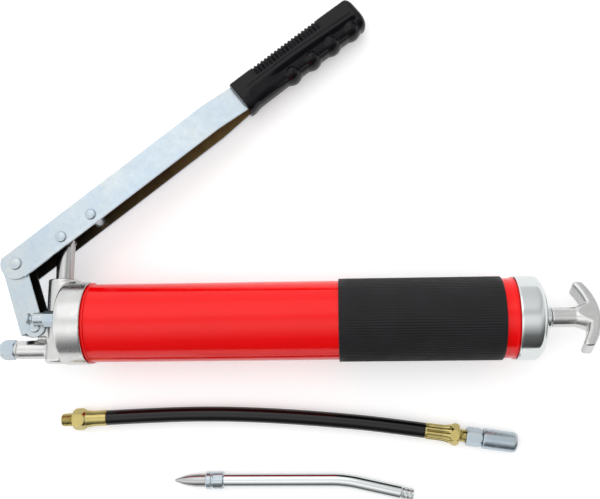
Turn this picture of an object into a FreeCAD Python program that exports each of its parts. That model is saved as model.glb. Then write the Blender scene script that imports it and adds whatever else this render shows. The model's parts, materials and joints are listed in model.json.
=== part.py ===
import FreeCAD, Part
import Sketcher
import math
import os
import re

# Lever grease gun with its hose and its rigid pipe, lying on its side.
# Gun frame: x runs along the barrel from the pump to the T-handle, y points to the lever and
# z points up from the table. The pump's axis is x = 0 and the barrel's axis is y = z = 0.
# Every length is in millimetres and every angle in degrees.
SIZES = {
    # barrel, sleeve and end cap
    "tube_radius": 28.5,
    "tube_wall": 1.2,
    "barrel_show": 305.7,
    "thread_gap": 0.1,
    "sleeve_start": 124.4,
    "sleeve_length": 115.1,
    "sleeve_wall": 1.4,
    "sleeve_round": 1.0,
    "cap_wall": 1.6,
    "cap_depth": 16.2,
    "cap_end_wall": 3.5,
    "cap_round": 5.0,
    "collar_radius": 8.7,
    "collar_length": 6.0,
    "spigot_radius": 6.0,
    # pump head
    "head_rim": 21.5,
    "cup_front": 2.0,
    "cup_floor": 7.0,
    "cup_round": 3.0,
    "gasket_thick": 1.0,
    "boss_radius": 11.5,
    "boss_rise": 1.8,
    "boss_sunk": 0.9,
    "boss_round": 2.5,
    "inner_gap": 1.1,
    "guide_radius": 6.5,
    "piston_radius": 4.75,
    "pump_floor": -22.5,
    "guide_floor": 1.5,
    "inlet_radius": 3.0,
    "lug_radius": 6.5,
    "lug_side_gap": 0.4,
    "rib_half": 3.0,
    "seal_depth": 5.0,
    "seal_thick": 2.6,
    "seal_wall": 1.8,
    # outlet valve
    "outlet_drop": 19.0,
    "outlet_radius": 6.8,
    "outlet_reach": 31.9,
    "valve_bore": 4.2,
    "seat_back": 14.0,
    "port_radius": 2.2,
    "washer_thick": 2.0,
    "washer_step": 0.6,
    "valve_length": 11.4,
    "valve_flats": 13.0,
    "valve_nose": 4.9,
    "valve_chamfer": 3.6,
    "valve_spigot": 8.0,
    "hose_thread": 4.86,
    "outlet_thread_depth": 9.0,
    "ball_radius": 3.0,
    "outlet_wire": 0.35,
    "outlet_coil": 3.3,
    "outlet_turns": 5.0,
    # filler nipple
    "filler_rise": 1.5,
    "filler_near": 19.5,
    "filler_flats": 10.0,
    "filler_hex": 8.9,
    "filler_body": 8.0,
    "filler_body_radius": 4.5,
    "filler_neck": 2.1,
    "filler_neck_radius": 2.6,
    "filler_disc": 2.3,
    "filler_disc_radius": 4.2,
    "filler_spigot": 3.5,
    "filler_mouth": 1.1,
    "filler_chamber": 2.1,
    "filler_lip": 1.0,
    "filler_end": 1.5,
    "filler_ball": 1.8,
    "filler_wire": 0.25,
    "filler_coil": 1.4,
    "filler_turns": 7,
    # plunger
    "pin_rise": 30.5,
    "pin_radius": 3.0,
    "shank_bottom": 24.0,
    "piston_tip": 7.0,
    "eye_drop": 6.0,
    "eye_half": 4.5,
    # lever, seen along the plunger pin with the lever along x
    "lever_angle": 37.9,
    "lever_half": 12.8,
    "lever_wall": 2.0,
    "lever_top": 14.6,
    "lever_skirt": 7.2,
    "fulcrum_back": 38.0,
    "fulcrum_up": 5.0,
    "fulcrum_round": 11.4,
    "spacer_along": 27.0,
    "spacer_radius": 5.0,
    "taper_start": 141.0,
    "grip_start": 168.5,
    "grip_length": 113.5,
    "tail_half": 7.5,
    "tail_skirt": 2.0,
    "tail_shoulder": 12.0,
    "tail_stop": 12.0,
    "grip_cover": 2.4,
    "grip_roof": 2.7,
    "grip_side": 4.8,
    "grip_round": 7.0,
    "grip_swell": 0.6,
    "bump_pitch": 19.0,
    "bump_first": 51.0,
    "bump_depth": 4.8,
    "bump_radius": 6.5,
    "rivet_head": 4.1,
    "fulcrum_head": 4.7,
    "rivet_dome": 1.2,
    "rivet_height": 1.6,
    # link
    "link_foot_back": 17.0,
    "link_foot_drop": 3.4,
    "link_side_gap": 0.3,
    "link_wall": 1.6,
    "link_web": 11.2,
    "link_edge": 6.3,
    "link_ear": 7.5,
    "link_top": 3.5,
    "link_heel": 2.7,
    "loop_gap": 1.2,
    # follower, rod and T-handle
    "rod_radius": 4.0,
    "rod_gap": 0.06,
    "rod_tip": 17.6,
    "nut_flats": 13.0,
    "nut_thick": 4.7,
    "plate_thick": 1.8,
    "front_plate": 20.0,
    "cup_thick": 12.0,
    "cup_lip": 3.2,
    "lip_long": 2.0,
    "lip_thick": 1.2,
    "back_plate": 25.0,
    "clip_thick": 1.2,
    "clip_width": 3.0,
    "spring_wire": 1.25,
    "spring_radius": 21.5,
    "spring_turns": 19,
    "follower_travel": 240.0,
    "notch_length": 9.0,
    "notch_radius": 3.1,
    "stem_radius": 7.1,
    "stem_gap": 0.5,
    "stem_sunk": 5.0,
    "flare_start": 17.0,
    "flare_end": 6.0,
    "flare_widen": 4.0,
    "handle_reach": 34.2,
    "handle_span": 26.5,
    "handle_outer": 43.0,
    "handle_inner": 41.0,
    "handle_thick": 8.5,
    "handle_half": 7.5,
    "handle_edge": 2.5,
    "handle_turn": -25.0,
    "socket_depth": 18.0,
    "cross_pin": 1.5,
    "cross_pin_short": 0.2,
    "cross_pin_past": 1.0,
    # running and seating clearances
    "running_gap": 0.05,
    "face_gap": 0.3,
    "wire_gap": 0.1,
    "table_gap": 0.02,
    # hose ends
    "hose_radius": 5.6,
    "hose_height": 7.5,
    "hose_arc_share": 0.45,
    "hose_bore": 2.0,
    "stem_bore": 2.9,
    "ferrule_radius": 5.9,
    "inlet_ferrule": 15.3,
    "inlet_hex": 10.0,
    "hose_flats": 14.0,
    "inlet_thread": 8.9,
    "tip_ferrule_long": 18.7,
    "tip_hex": 6.2,
    "tip_neck": 5.0,
    "adapter_overlap": 4.0,
    "adapter_hex": 12.0,
    "adapter_flats": 12.0,
    "adapter_spigot": 6.0,
    "adapter_thread": 8.0,
    "coupler_radius": 7.4,
    "coupler_length": 24.8,
    "coupler_bore": 5.2,
    "mouth_radius": 4.3,
    "mouth_lip": 1.6,
    "jaw_length": 8.0,
    "jaw_bore": 3.2,
    "jaw_slot": 1.0,
    "seal_length": 3.0,
    "seal_bore": 1.5,
    "coupler_wire": 0.5,
    "coupler_coil": 4.0,
    "coupler_turns": 3,
    # rigid pipe
    "pipe_radius": 5.2,
    "pipe_bore": 2.2,
    "pipe_height": 6.35,
    "pipe_collar_radius": 6.35,
    "pipe_collar_long": 13.5,
    "nozzle_length": 7.3,
    "nozzle_cone": 16.0,
    "nozzle_shoulder": 8.0,
    "nozzle_middle": 3.7,
    "nozzle_radius": 4.9,
    "nozzle_seat": 6.0,
    "nozzle_tip": 0.9,
    "nozzle_bore": 0.6,
    "pipe_straight": 89.1,
    "pipe_leg": 50.0,
    "pipe_turn": -12.3,
    "pipe_bend": 90.0,
    "pipe_thread": 9.0,
}

# Route of the hose over the table, from the inlet ferrule to the coupler's ferrule.
HOSE_ROUTE = [(27.8, -70.2), (66.0, -68.4), (111.0, -67.7), (157.0, -69.6), (202.0, -73.2),
              (235.0, -76.7), (264.2, -80.8)]
# Tip of the rigid pipe on the table; the pipe starts out parallel to the barrel.
PIPE_TIP = (79.2, -116.3)

# Places that several pieces share, in the gun frame.
CAP_RIM = "head_rim + barrel_show"
CAP_INNER = f"{CAP_RIM} + cap_depth"
CAP_END = f"{CAP_INNER} + cap_end_wall"
TUBE_BACK = f"{CAP_INNER} - thread_gap"
COLLAR_END = f"{CAP_END} + collar_length"
CUP_RADIUS = "tube_radius + thread_gap + cap_wall"
BORE_RADIUS = "tube_radius + thread_gap"
CUP_FLOOR = "cup_front + cup_floor"
TUBE_FRONT = f"{CUP_FLOOR} + gasket_thick"
BOSS_TOP = f"{CUP_RADIUS} + boss_rise"
BOSS_BOTTOM = f"boss_sunk - ({CUP_RADIUS})"
INNER_BOSS = "tube_radius - tube_wall - inner_gap"
SEAL_START = f"{BOSS_TOP} - seal_depth"
PIN_HEIGHT = f"{BOSS_TOP} + pin_rise"
OUTLET_FACE = "0 - outlet_reach"
VALVE_START = f"{OUTLET_FACE} - washer_thick"
VALVE_END = f"{VALVE_START} - valve_length"
OUTLET_AT = ("0 - outlet_drop", "0")
FILLER_AT = ("filler_rise", "filler_near")
LINK_FOOT = ("0 - link_foot_back", "0 - link_foot_drop")
LINK_HALF = "(lever_half - lever_wall - link_side_gap)"
LUG_HALF = f"({LINK_HALF} - link_wall - lug_side_gap)"
FULCRUM_X = "0 - fulcrum_back * cos(lever_angle) - fulcrum_up * sin(lever_angle)"
FULCRUM_Y = f"{PIN_HEIGHT} - fulcrum_back * sin(lever_angle) + fulcrum_up * cos(lever_angle)"
LINK_RISE = f"{FULCRUM_Y} + link_foot_drop"
LINK_LEAN = f"0 - ({FULCRUM_X}) - link_foot_back"
LINK_LENGTH = f"sqrt(({LINK_RISE})^2 + ({LINK_LEAN})^2)"
NUT_BACK = "rod_tip + nut_thick"
PLATE_START = f"{NUT_BACK} + face_gap"
CUP_START = f"{PLATE_START} + plate_thick"
BACK_START = f"{CUP_START} + cup_thick"
BACK_END = f"{BACK_START} + plate_thick"
STEM_START = f"{COLLAR_END} + stem_gap"
HANDLE_TOP = f"{COLLAR_END} + handle_reach"
ROD_BACK = f"{STEM_START} + socket_depth"
CROSS_PIN_AT = (f"{STEM_START} + socket_depth / 2", "0")
CROSS_PIN_END = "rod_radius + cross_pin_past"
NOTCH_START = f"{CAP_END} - follower_travel"
NOTCH_END = f"{NOTCH_START} + notch_length"
LEVER_TAIL = "grip_start + grip_length - tail_stop"
TAIL_STEP = "grip_start + tail_shoulder"
EYE_GAP = "eye_half + face_gap"
PIN_BORE = "pin_radius + running_gap"

os.makedirs("parts", exist_ok=True)
doc = FreeCAD.newDocument("grease_gun")
sheet = doc.addObject("Spreadsheet::Sheet", "Sizes")
for row, (alias, size) in enumerate(SIZES.items(), 1):
    sheet.set(f"A{row}", alias)
    sheet.set(f"B{row}", str(size))
    sheet.setAlias(f"B{row}", alias)
doc.recompute()

Vector = FreeCAD.Vector
TURNS = {
    "x": FreeCAD.Rotation(Vector(0, 1, 0), 90),
    "y": FreeCAD.Rotation(Vector(1, 0, 0), -90),
    "z": FreeCAD.Rotation(),
}
PIECES = {}


def bound(text):
    """The expression with each size's name made to read its cell."""
    return re.sub(r"[a-z][a-z_]+", lambda word: f"Sizes.{word[0]}" if word[0] in SIZES else word[0], text)


def size(text):
    """The expression's value in millimetres or degrees."""
    return float(sheet.evalExpression(bound(text)))


def place(along, start, at):
    """Base point of a primitive that starts at start on its axis; at holds its other two coordinates."""
    spots = {"x": (start, at[0], at[1]), "y": (at[0], start, at[1]), "z": (at[0], at[1], start)}
    return spots[along]


def settle(shape, along, spot, turn=0):
    """Sets a primitive along an axis, turned about that axis, with its place read from the sheet."""
    shape.Placement = FreeCAD.Placement(Vector(), TURNS[along] * FreeCAD.Rotation(Vector(0, 0, 1), turn))
    for axis, text in zip("xyz", spot):
        shape.setExpression(f"Placement.Base.{axis}", bound(text))
    return shape


def rod(name, along, radius, start, end, at=("0", "0")):
    """Cylinder along an axis, from start to end."""
    shape = doc.addObject("Part::Cylinder", name)
    shape.setExpression("Radius", bound(radius))
    shape.setExpression("Height", bound(f"({end}) - ({start})"))
    return settle(shape, along, place(along, start, at))


def cone(name, along, radius_start, radius_end, start, end, at=("0", "0")):
    """Cone or tapered rod along an axis."""
    shape = doc.addObject("Part::Cone", name)
    shape.setExpression("Radius1", bound(radius_start))
    shape.setExpression("Radius2", bound(radius_end))
    shape.setExpression("Height", bound(f"({end}) - ({start})"))
    return settle(shape, along, place(along, start, at))


def hexagon(name, flats, start, end, at=("0", "0")):
    """Hexagon bar along x with flats facing up and down."""
    shape = doc.addObject("Part::Prism", name)
    shape.Polygon = 6
    shape.setExpression("Circumradius", bound(f"({flats}) / 2 / cos(30)"))
    shape.setExpression("Height", bound(f"({end}) - ({start})"))
    return settle(shape, "x", place("x", start, at), 30)


def box(name, low, high):
    """Block between two corners."""
    shape = doc.addObject("Part::Box", name)
    for side, start, end in zip(("Length", "Width", "Height"), low, high):
        shape.setExpression(side, bound(f"({end}) - ({start})"))
    return settle(shape, "z", low)


def ball(name, radius, spot):
    shape = doc.addObject("Part::Sphere", name)
    shape.setExpression("Radius", bound(radius))
    return settle(shape, "z", spot)


def fuse(name, *shapes):
    joined = doc.addObject("Part::MultiFuse", name)
    joined.Shapes = list(shapes)
    return joined


def cut(name, base, *tools):
    result = doc.addObject("Part::Cut", name)
    result.Base = base
    result.Tool = tools[0] if len(tools) == 1 else fuse(f"{name}_tools", *tools)
    return result


def common(name, one, other):
    result = doc.addObject("Part::Common", name)
    result.Base = one
    result.Tool = other
    return result


def hollow(name, along, outer, inner, start, end, at=("0", "0")):
    """Tube along an axis; its bore is cut 1 mm past both ends."""
    return cut(name, rod(f"{name}_outer", along, outer, start, end, at),
               rod(f"{name}_hole", along, inner, f"{start} - 1", f"{end} + 1", at))


def solo(name, piece):
    """Wraps one primitive, so that the piece gets a place of its own."""
    wrap = doc.addObject("Part::Compound", name)
    wrap.Links = [piece]
    return wrap


def is_circle(edge, radius, along, spot):
    """True for a circular edge of this radius whose centre lies at this coordinate."""
    curve = edge.Curve
    if not isinstance(curve, Part.Circle) or abs(curve.Radius - radius) > 1e-6:
        return False
    return abs(getattr(curve.Center, along) - spot) < 1e-6


def rounded(name, base, radius, wanted):
    """Fillet on the edges that pass the test."""
    doc.recompute()
    result = doc.addObject("Part::Fillet", name)
    result.Base = base
    amount = size(radius)
    numbers = [number for number, edge in enumerate(base.Shape.Edges, 1) if wanted(edge)]
    result.Edges = [(number, amount, amount) for number in numbers]
    return result


def origin_plane(body, role):
    return next(item for item in body.Origin.OriginFeatures if item.Role == role)


def new_body(name):
    body = doc.addObject("PartDesign::Body", f"{name}_body")
    doc.recompute()
    return body


def outline(body, name, plane, corners, offset=None):
    """Closed outline; each corner is held by two dimensions that read the sheet."""
    sketch = body.newObject("Sketcher::SketchObject", name)
    sketch.AttachmentSupport = [(origin_plane(body, plane), "")]
    sketch.MapMode = "FlatFace"
    if offset:
        sketch.setExpression("AttachmentOffset.Base.z", bound(offset))
    spots = [Vector(size(across), size(up)) for across, up in corners]
    count = len(spots)
    for number in range(count):
        sketch.addGeometry(Part.LineSegment(spots[number], spots[(number + 1) % count]))
    for number in range(count):
        sketch.addConstraint(Sketcher.Constraint("Coincident", number, 2, (number + 1) % count, 1))
    for number, (across, up) in enumerate(corners):
        for kind, text in (("DistanceX", across), ("DistanceY", up)):
            held = sketch.addConstraint(Sketcher.Constraint(kind, number, 1, size(text)))
            sketch.setExpression(f"Constraints[{held}]", bound(text))
    return sketch


def turned(name, corners):
    """Body turned about the barrel's line from (x, radius) corners."""
    body = new_body(name)
    profile = outline(body, f"{name}_profile", "XY_Plane", corners)
    spin = body.newObject("PartDesign::Revolution", f"{name}_turned")
    spin.Profile = profile
    spin.ReferenceAxis = (profile, ["H_Axis"])
    spin.Angle = 360
    doc.recompute()
    return body


def soften(body, name, radius, wanted):
    """Fillet feature on the body's edges that pass the test."""
    doc.recompute()
    base = body.Tip
    names = [f"Edge{number}" for number, edge in enumerate(base.Shape.Edges, 1) if wanted(edge)]
    feature = body.newObject("PartDesign::Fillet", name)
    feature.Base = (base, names)
    feature.setExpression("Radius", bound(radius))
    doc.recompute()
    return feature


def keep(name, piece, group):
    """Names a finished piece and notes which frame it is set in."""
    piece.Label = name
    PIECES[name] = (piece, group)


def keep_shape(name, shape, group):
    """Piece whose shape comes from Part's own functions."""
    piece = doc.addObject("Part::Feature", f"{name}_shape")
    piece.Shape = shape
    keep(name, piece, group)


# ---------------------------------------------------------------- barrel
def build_barrel():
    tube = turned("tube", [
        (TUBE_FRONT, "tube_radius - tube_wall"),
        (TUBE_BACK, "tube_radius - tube_wall"),
        (TUBE_BACK, "tube_radius"),
        (TUBE_FRONT, "tube_radius"),
    ])
    keep("barrel_tube", tube, "gun")
    start = f"{CAP_RIM} - sleeve_start"
    end = f"{start} + sleeve_length"
    outer = "tube_radius + sleeve_wall"
    sleeve = turned("sleeve", [(start, "tube_radius"), (end, "tube_radius"), (end, outer), (start, outer)])
    soften(sleeve, "sleeve_edges", "sleeve_round", lambda edge: any(
        is_circle(edge, size(outer), "x", size(rim)) for rim in (start, end)))
    keep("barrel_sleeve", sleeve, "gun")


def build_cap():
    cap = turned("cap", [
        (CAP_RIM, BORE_RADIUS),
        (CAP_INNER, BORE_RADIUS),
        (CAP_INNER, "spigot_radius"),
        (CAP_END, "spigot_radius"),
        (CAP_END, CUP_RADIUS),
        (CAP_RIM, CUP_RADIUS),
    ])
    soften(cap, "cap_corner", "cap_round",
           lambda edge: is_circle(edge, size(CUP_RADIUS), "x", size(CAP_END)))
    keep("end_cap", cap, "gun")
    bore = "rod_radius + rod_gap"
    collar = turned("collar", [
        (CAP_INNER, bore),
        (COLLAR_END, bore),
        (COLLAR_END, "collar_radius"),
        (CAP_END, "collar_radius"),
        (CAP_END, "spigot_radius"),
        (CAP_INNER, "spigot_radius"),
    ])
    keep("rod_collar", collar, "gun")


# ---------------------------------------------------------------- pump head
def build_head():
    cup = rod("head_cup", "x", CUP_RADIUS, "cup_front", "head_rim")
    cup = rounded("head_cup_edge", cup, "cup_round",
                  lambda edge: is_circle(edge, size(CUP_RADIUS), "x", size("cup_front")))
    boss = rod("head_boss", "y", "boss_radius", BOSS_BOTTOM, BOSS_TOP)
    boss = rounded("head_boss_foot", boss, "boss_round",
                   lambda edge: is_circle(edge, size("boss_radius"), "y", size(BOSS_BOTTOM)))
    outlet = rod("head_outlet", "x", "outlet_radius", OUTLET_FACE, "0", OUTLET_AT)
    lug = rod("head_lug", "z", "lug_radius", f"0 - {LUG_HALF}", LUG_HALF, LINK_FOOT)
    arm = box("head_arm", (LINK_FOOT[0], f"{LINK_FOOT[1]} - lug_radius", f"0 - {LUG_HALF}"),
              ("0", f"{LINK_FOOT[1]} + lug_radius", LUG_HALF))
    rib = box("head_rib", (LINK_FOOT[0], OUTLET_AT[0], "0 - rib_half"), ("0", LINK_FOOT[1], "rib_half"))
    solid = fuse("head_solid", cup, boss, outlet, lug, arm, rib)
    bored = cut("head_bored", solid, rod("head_cavity", "x", BORE_RADIUS, CUP_FLOOR, "head_rim + 1"))
    inner = common("head_inner",
                   rod("head_inner_boss", "y", "boss_radius", f"0 - ({INNER_BOSS})", INNER_BOSS),
                   rod("head_inner_limit", "x", INNER_BOSS, "0", "boss_radius + 1"))
    casting = fuse("head_casting", bored, inner)
    seat = "0 - seat_back"
    head = cut(
        "head", casting,
        rod("guide_bore", "y", "guide_radius + running_gap", "guide_floor", f"{BOSS_TOP} + 1"),
        rod("seal_groove", "y", "guide_radius + seal_wall", SEAL_START, f"{SEAL_START} + seal_thick"),
        rod("piston_bore", "y", "piston_radius + running_gap", "pump_floor", BOSS_TOP),
        rod("grease_inlet", "x", "inlet_radius", "0", "boss_radius + 1"),
        rod("outlet_port", "x", "port_radius", seat, "0", OUTLET_AT),
        rod("outlet_bore", "x", "valve_bore", f"{OUTLET_FACE} - 1", seat, OUTLET_AT),
        rod("link_pin_bore", "z", PIN_BORE, f"0 - {LUG_HALF} - 1", f"{LUG_HALF} + 1", LINK_FOOT),
        rod("filler_bore", "x", "filler_spigot", "cup_front - 1", f"{CUP_FLOOR} + 1", FILLER_AT),
    )
    keep("pump_head", head, "gun")
    gasket_bore = f"{INNER_BOSS} + face_gap"
    gasket = turned("gasket", [(CUP_FLOOR, gasket_bore), (TUBE_FRONT, gasket_bore),
                               (TUBE_FRONT, "tube_radius"), (CUP_FLOOR, "tube_radius")])
    keep("head_gasket", gasket, "gun")
    seal_end = f"{SEAL_START} + seal_thick"
    ring = hollow("seal_ring", "y", "guide_radius + seal_wall", "guide_radius + running_gap",
                  SEAL_START, seal_end)
    keep("plunger_seal", ring, "gun")


def build_outlet():
    washer = hollow("washer", "x", "outlet_radius - washer_step", "valve_bore", VALVE_START, OUTLET_FACE,
                    OUTLET_AT)
    keep("outlet_washer", washer, "gun")
    body = hexagon("valve_hex", "valve_flats", VALVE_END, VALVE_START, OUTLET_AT)
    corner = "valve_flats / 2 / cos(30) + running_gap"
    shoulder = f"{VALVE_END} + valve_chamfer"
    limit = cone("valve_round", "x", "valve_nose", corner, VALVE_END, shoulder, OUTLET_AT)
    barrel = rod("valve_barrel", "x", corner, shoulder, VALVE_START, OUTLET_AT)
    nut = common("valve_nut", body, fuse("valve_limit", limit, barrel))
    spigot_end = f"{VALVE_START} + valve_spigot"
    spigot = rod("valve_spigot_rod", "x", "valve_bore", VALVE_START, spigot_end, OUTLET_AT)
    valve = cut("valve", fuse("valve_blank", nut, spigot),
                rod("valve_thread", "x", "hose_thread", f"{VALVE_END} - 1",
                    f"{VALVE_END} + outlet_thread_depth", OUTLET_AT),
                rod("valve_passage", "x", "port_radius", VALVE_END, f"{spigot_end} + 1", OUTLET_AT))
    keep("outlet_valve_body", valve, "gun")
    rest = "0 - seat_back - sqrt(ball_radius^2 - port_radius^2) - running_gap"
    check_ball = ball("outlet_sphere", "ball_radius", (rest, *OUTLET_AT))
    keep("outlet_ball", solo("outlet_check", check_ball), "gun")
    wire = size("outlet_wire")
    start = size(f"{spigot_end} + wire_gap") + wire
    end = size(f"{rest} - ball_radius") - wire
    keep_shape("outlet_spring", spring_shape(start, end, size("outlet_coil"), wire, SIZES["outlet_turns"],
                                             [size(text) for text in OUTLET_AT]), "gun")


def spring_shape(start, end, radius, wire, turns, at=(0, 0)):
    """Round wire wound about a line along x, from start to end at the wire's centre."""
    helix = Part.makeHelix((end - start) / turns, end - start, radius)
    circle = Part.Wire(Part.makeCircle(wire, Vector(radius, 0, 0), Vector(0, 1, 0)))
    solid = Part.Wire(helix.Edges).makePipeShell([circle], True, True)
    solid.Placement = FreeCAD.Placement(Vector(start, at[0], at[1]), TURNS["x"])
    return solid


def build_filler():
    hex_start = "cup_front - filler_hex"
    body_start = f"{hex_start} - filler_body"
    neck_start = f"{body_start} - filler_neck"
    tip = f"{neck_start} - filler_disc"
    blank = fuse(
        "filler_blank",
        hexagon("filler_hexagon", "filler_flats", hex_start, "cup_front", FILLER_AT),
        rod("filler_barrel", "x", "filler_body_radius", body_start, hex_start, FILLER_AT),
        rod("filler_waist", "x", "filler_neck_radius", neck_start, body_start, FILLER_AT),
        rod("filler_rim", "x", "filler_disc_radius", tip, neck_start, FILLER_AT),
        rod("filler_plug", "x", "filler_spigot", "cup_front", CUP_FLOOR, FILLER_AT),
    )
    seat = f"{body_start} + filler_lip"
    back = f"{CUP_FLOOR} - filler_end"
    nipple = cut("filler", blank,
                 rod("filler_passage", "x", "filler_mouth", f"{tip} - 1", CUP_FLOOR, FILLER_AT),
                 rod("filler_room", "x", "filler_chamber", seat, back, FILLER_AT))
    keep("filler_nipple", nipple, "gun")
    centre = f"{seat} + sqrt(filler_ball^2 - filler_mouth^2) + running_gap"
    check = ball("filler_sphere", "filler_ball", (centre, *FILLER_AT))
    keep("filler_ball", solo("filler_check", check), "gun")
    wire = size("filler_wire")
    start = size(f"{centre} + filler_ball + wire_gap") + wire
    end = size(f"{back} - wire_gap") - wire
    keep_shape("filler_spring", spring_shape(start, end, size("filler_coil"), wire, SIZES["filler_turns"],
                                             [size(text) for text in FILLER_AT]), "gun")


# ---------------------------------------------------------------- plunger
def build_plunger():
    pin = ("0", PIN_HEIGHT)
    shank = rod("plunger_shank", "y", "guide_radius", "shank_bottom", PIN_HEIGHT)
    flats = [box(f"plunger_flat_{side}", ("0 - guide_radius - 1", f"{PIN_HEIGHT} - eye_drop", low),
                 ("guide_radius + 1", f"{PIN_HEIGHT} + guide_radius + 1", high))
             for side, low, high in (("near", "eye_half", "guide_radius + 1"),
                                     ("far", "0 - guide_radius - 1", "0 - eye_half"))]
    post = cut("plunger_post", shank, *flats)
    piston = rod("plunger_piston", "y", "piston_radius", "piston_tip", "shank_bottom")
    eye = rod("plunger_eye", "z", "guide_radius", "0 - eye_half", "eye_half", pin)
    plunger = cut("plunger_part", fuse("plunger_blank", post, piston, eye),
                  rod("plunger_hole", "z", PIN_BORE, "0 - guide_radius", "guide_radius", pin))
    keep("plunger", plunger, "gun")


# ---------------------------------------------------------------- lever, in its own frame at the pin
def channel_sketch(body, name, along, half):
    """U section of the lever at a distance along it; the mouth faces down."""
    inner = f"({half}) - lever_wall"
    roof = "lever_top - lever_wall"
    low = "0 - lever_skirt"
    corners = [(low, f"0 - ({half})"), ("lever_top", f"0 - ({half})"), ("lever_top", half), (low, half),
               (low, inner), (roof, inner), (roof, f"0 - ({inner})"), (low, f"0 - ({inner})")]
    return outline(body, name, "YZ_Plane", corners, along)


def build_lever():
    body = new_body("lever")
    start = "0 - fulcrum_back - fulcrum_round"
    stations = [(start, "lever_half"), ("taper_start", "lever_half"), ("grip_start", "tail_half"),
                (LEVER_TAIL, "tail_half")]
    sketches = [channel_sketch(body, f"lever_section_{number}", along, half)
                for number, (along, half) in enumerate(stations)]
    loft = body.newObject("PartDesign::AdditiveLoft", "lever_loft")
    loft.Profile = sketches[0]
    loft.Sections = sketches[1:]
    loft.Ruled = True
    doc.recompute()
    # The fulcrum end is rounded about the fulcrum below the web, and the web ends where that arc meets it.
    fulcrum = ("0 - fulcrum_back", "fulcrum_up")
    keep_round = rod("lever_end_round", "z", "fulcrum_round", "0 - lever_half - 1", "lever_half + 1",
                     fulcrum)
    block = box("lever_end_block", (f"{start} - 1", "0 - lever_skirt - 1", "0 - lever_half - 1"),
                (fulcrum[0], "lever_top + 1", "lever_half + 1"))
    waste = cut("lever_end_waste", block, keep_round)
    # Within the grip the flanges are cut back, so that the finger hollows have room.
    tail_waste = box("lever_tail_waste", (TAIL_STEP, "0 - lever_skirt - 1", "0 - lever_half - 1"),
                     (f"{LEVER_TAIL} + 1", "0 - tail_skirt", "lever_half + 1"))
    holes = [rod(f"lever_hole_{number}", "z", "pin_radius", "0 - lever_half - 1", "lever_half + 1", at)
             for number, at in enumerate((fulcrum, ("0", "0"), ("spacer_along", "0")))]
    lever = cut("lever", body, waste, tail_waste, *holes)
    keep("lever_channel", lever, "lever")
    spacer = ("spacer_along", "0")
    for name, at, head in (("fulcrum_rivet", fulcrum, "fulcrum_head"),
                           ("plunger_rivet", ("0", "0"), "rivet_head"),
                           ("spacer_rivet", spacer, "rivet_head")):
        keep(name, rivet(name, at, "lever_half", head), "lever")
    inner = "lever_half - lever_wall"
    tube = hollow("spacer", "z", "spacer_radius", "pin_radius", f"0 - ({inner})", inner, spacer)
    keep("spacer_tube", tube, "lever")
    rings = [hollow(f"ring_{side}", "z", "spacer_radius", "pin_radius", low, high)
             for side, low, high in (("near", EYE_GAP, inner),
                                     ("far", f"0 - ({inner})", f"0 - ({EYE_GAP})"))]
    pair = doc.addObject("Part::Compound", "rings")
    pair.Links = rings
    keep("pin_spacers", pair, "lever")


def rivet(name, at, half, head):
    """Pin through both flanges with a domed head on each side."""
    parts = [rod(f"{name}_pin", "z", "pin_radius", f"0 - ({half})", half, at)]
    for side, start, end, wide, narrow in (
            ("near", half, f"({half}) + rivet_height", head, f"({head}) - rivet_dome"),
            ("far", f"0 - ({half}) - rivet_height", f"0 - ({half})", f"({head}) - rivet_dome", head)):
        parts.append(cone(f"{name}_{side}", "z", wide, narrow, start, end, at))
    return fuse(f"{name}_part", *parts)


def build_grip():
    low = "0 - lever_skirt - grip_cover"
    high = "lever_top + grip_roof"
    half = "tail_half + grip_side"
    end = "grip_start + grip_length"
    body = new_body("grip")
    profile = outline(body, "grip_profile", "XY_Plane",
                      [("grip_start", low), (end, f"{low} - grip_swell"), (end, f"{high} + grip_swell"),
                       ("grip_start", high)])
    pad = body.newObject("PartDesign::Pad", "grip_pad")
    pad.Profile = profile
    pad.SideType = "Symmetric"
    pad.setExpression("Length", bound(f"2 * ({half})"))
    doc.recompute()
    start_x = size("grip_start")
    soften(body, "grip_edges", "grip_round", lambda edge: edge.BoundBox.XMax > start_x + 1 and (
        edge.BoundBox.XLength > 1 or edge.BoundBox.XMin > start_x + 1))
    reach = "bump_radius - bump_depth"
    dips = []
    for number in range(3):
        along = f"bump_first + {number} * bump_pitch"
        edge = f"{low} - grip_swell * ({along}) / grip_length"
        dips.append(rod(f"finger_dip_{number}", "z", "bump_radius", f"0 - ({half}) - 1", f"{half} + 1",
                        (f"grip_start + {along}", f"{edge} - ({reach})")))
    mouth = box("grip_mouth", ("grip_start - 1", "0 - lever_skirt", "0 - tail_half"),
                (TAIL_STEP, "lever_top", "tail_half"))
    pocket = box("grip_pocket", ("grip_start", "0 - tail_skirt", "0 - tail_half"),
                 (LEVER_TAIL, "lever_top", "tail_half"))
    grip = cut("grip", body, mouth, pocket, *dips)
    keep("lever_grip", grip, "lever")


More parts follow.
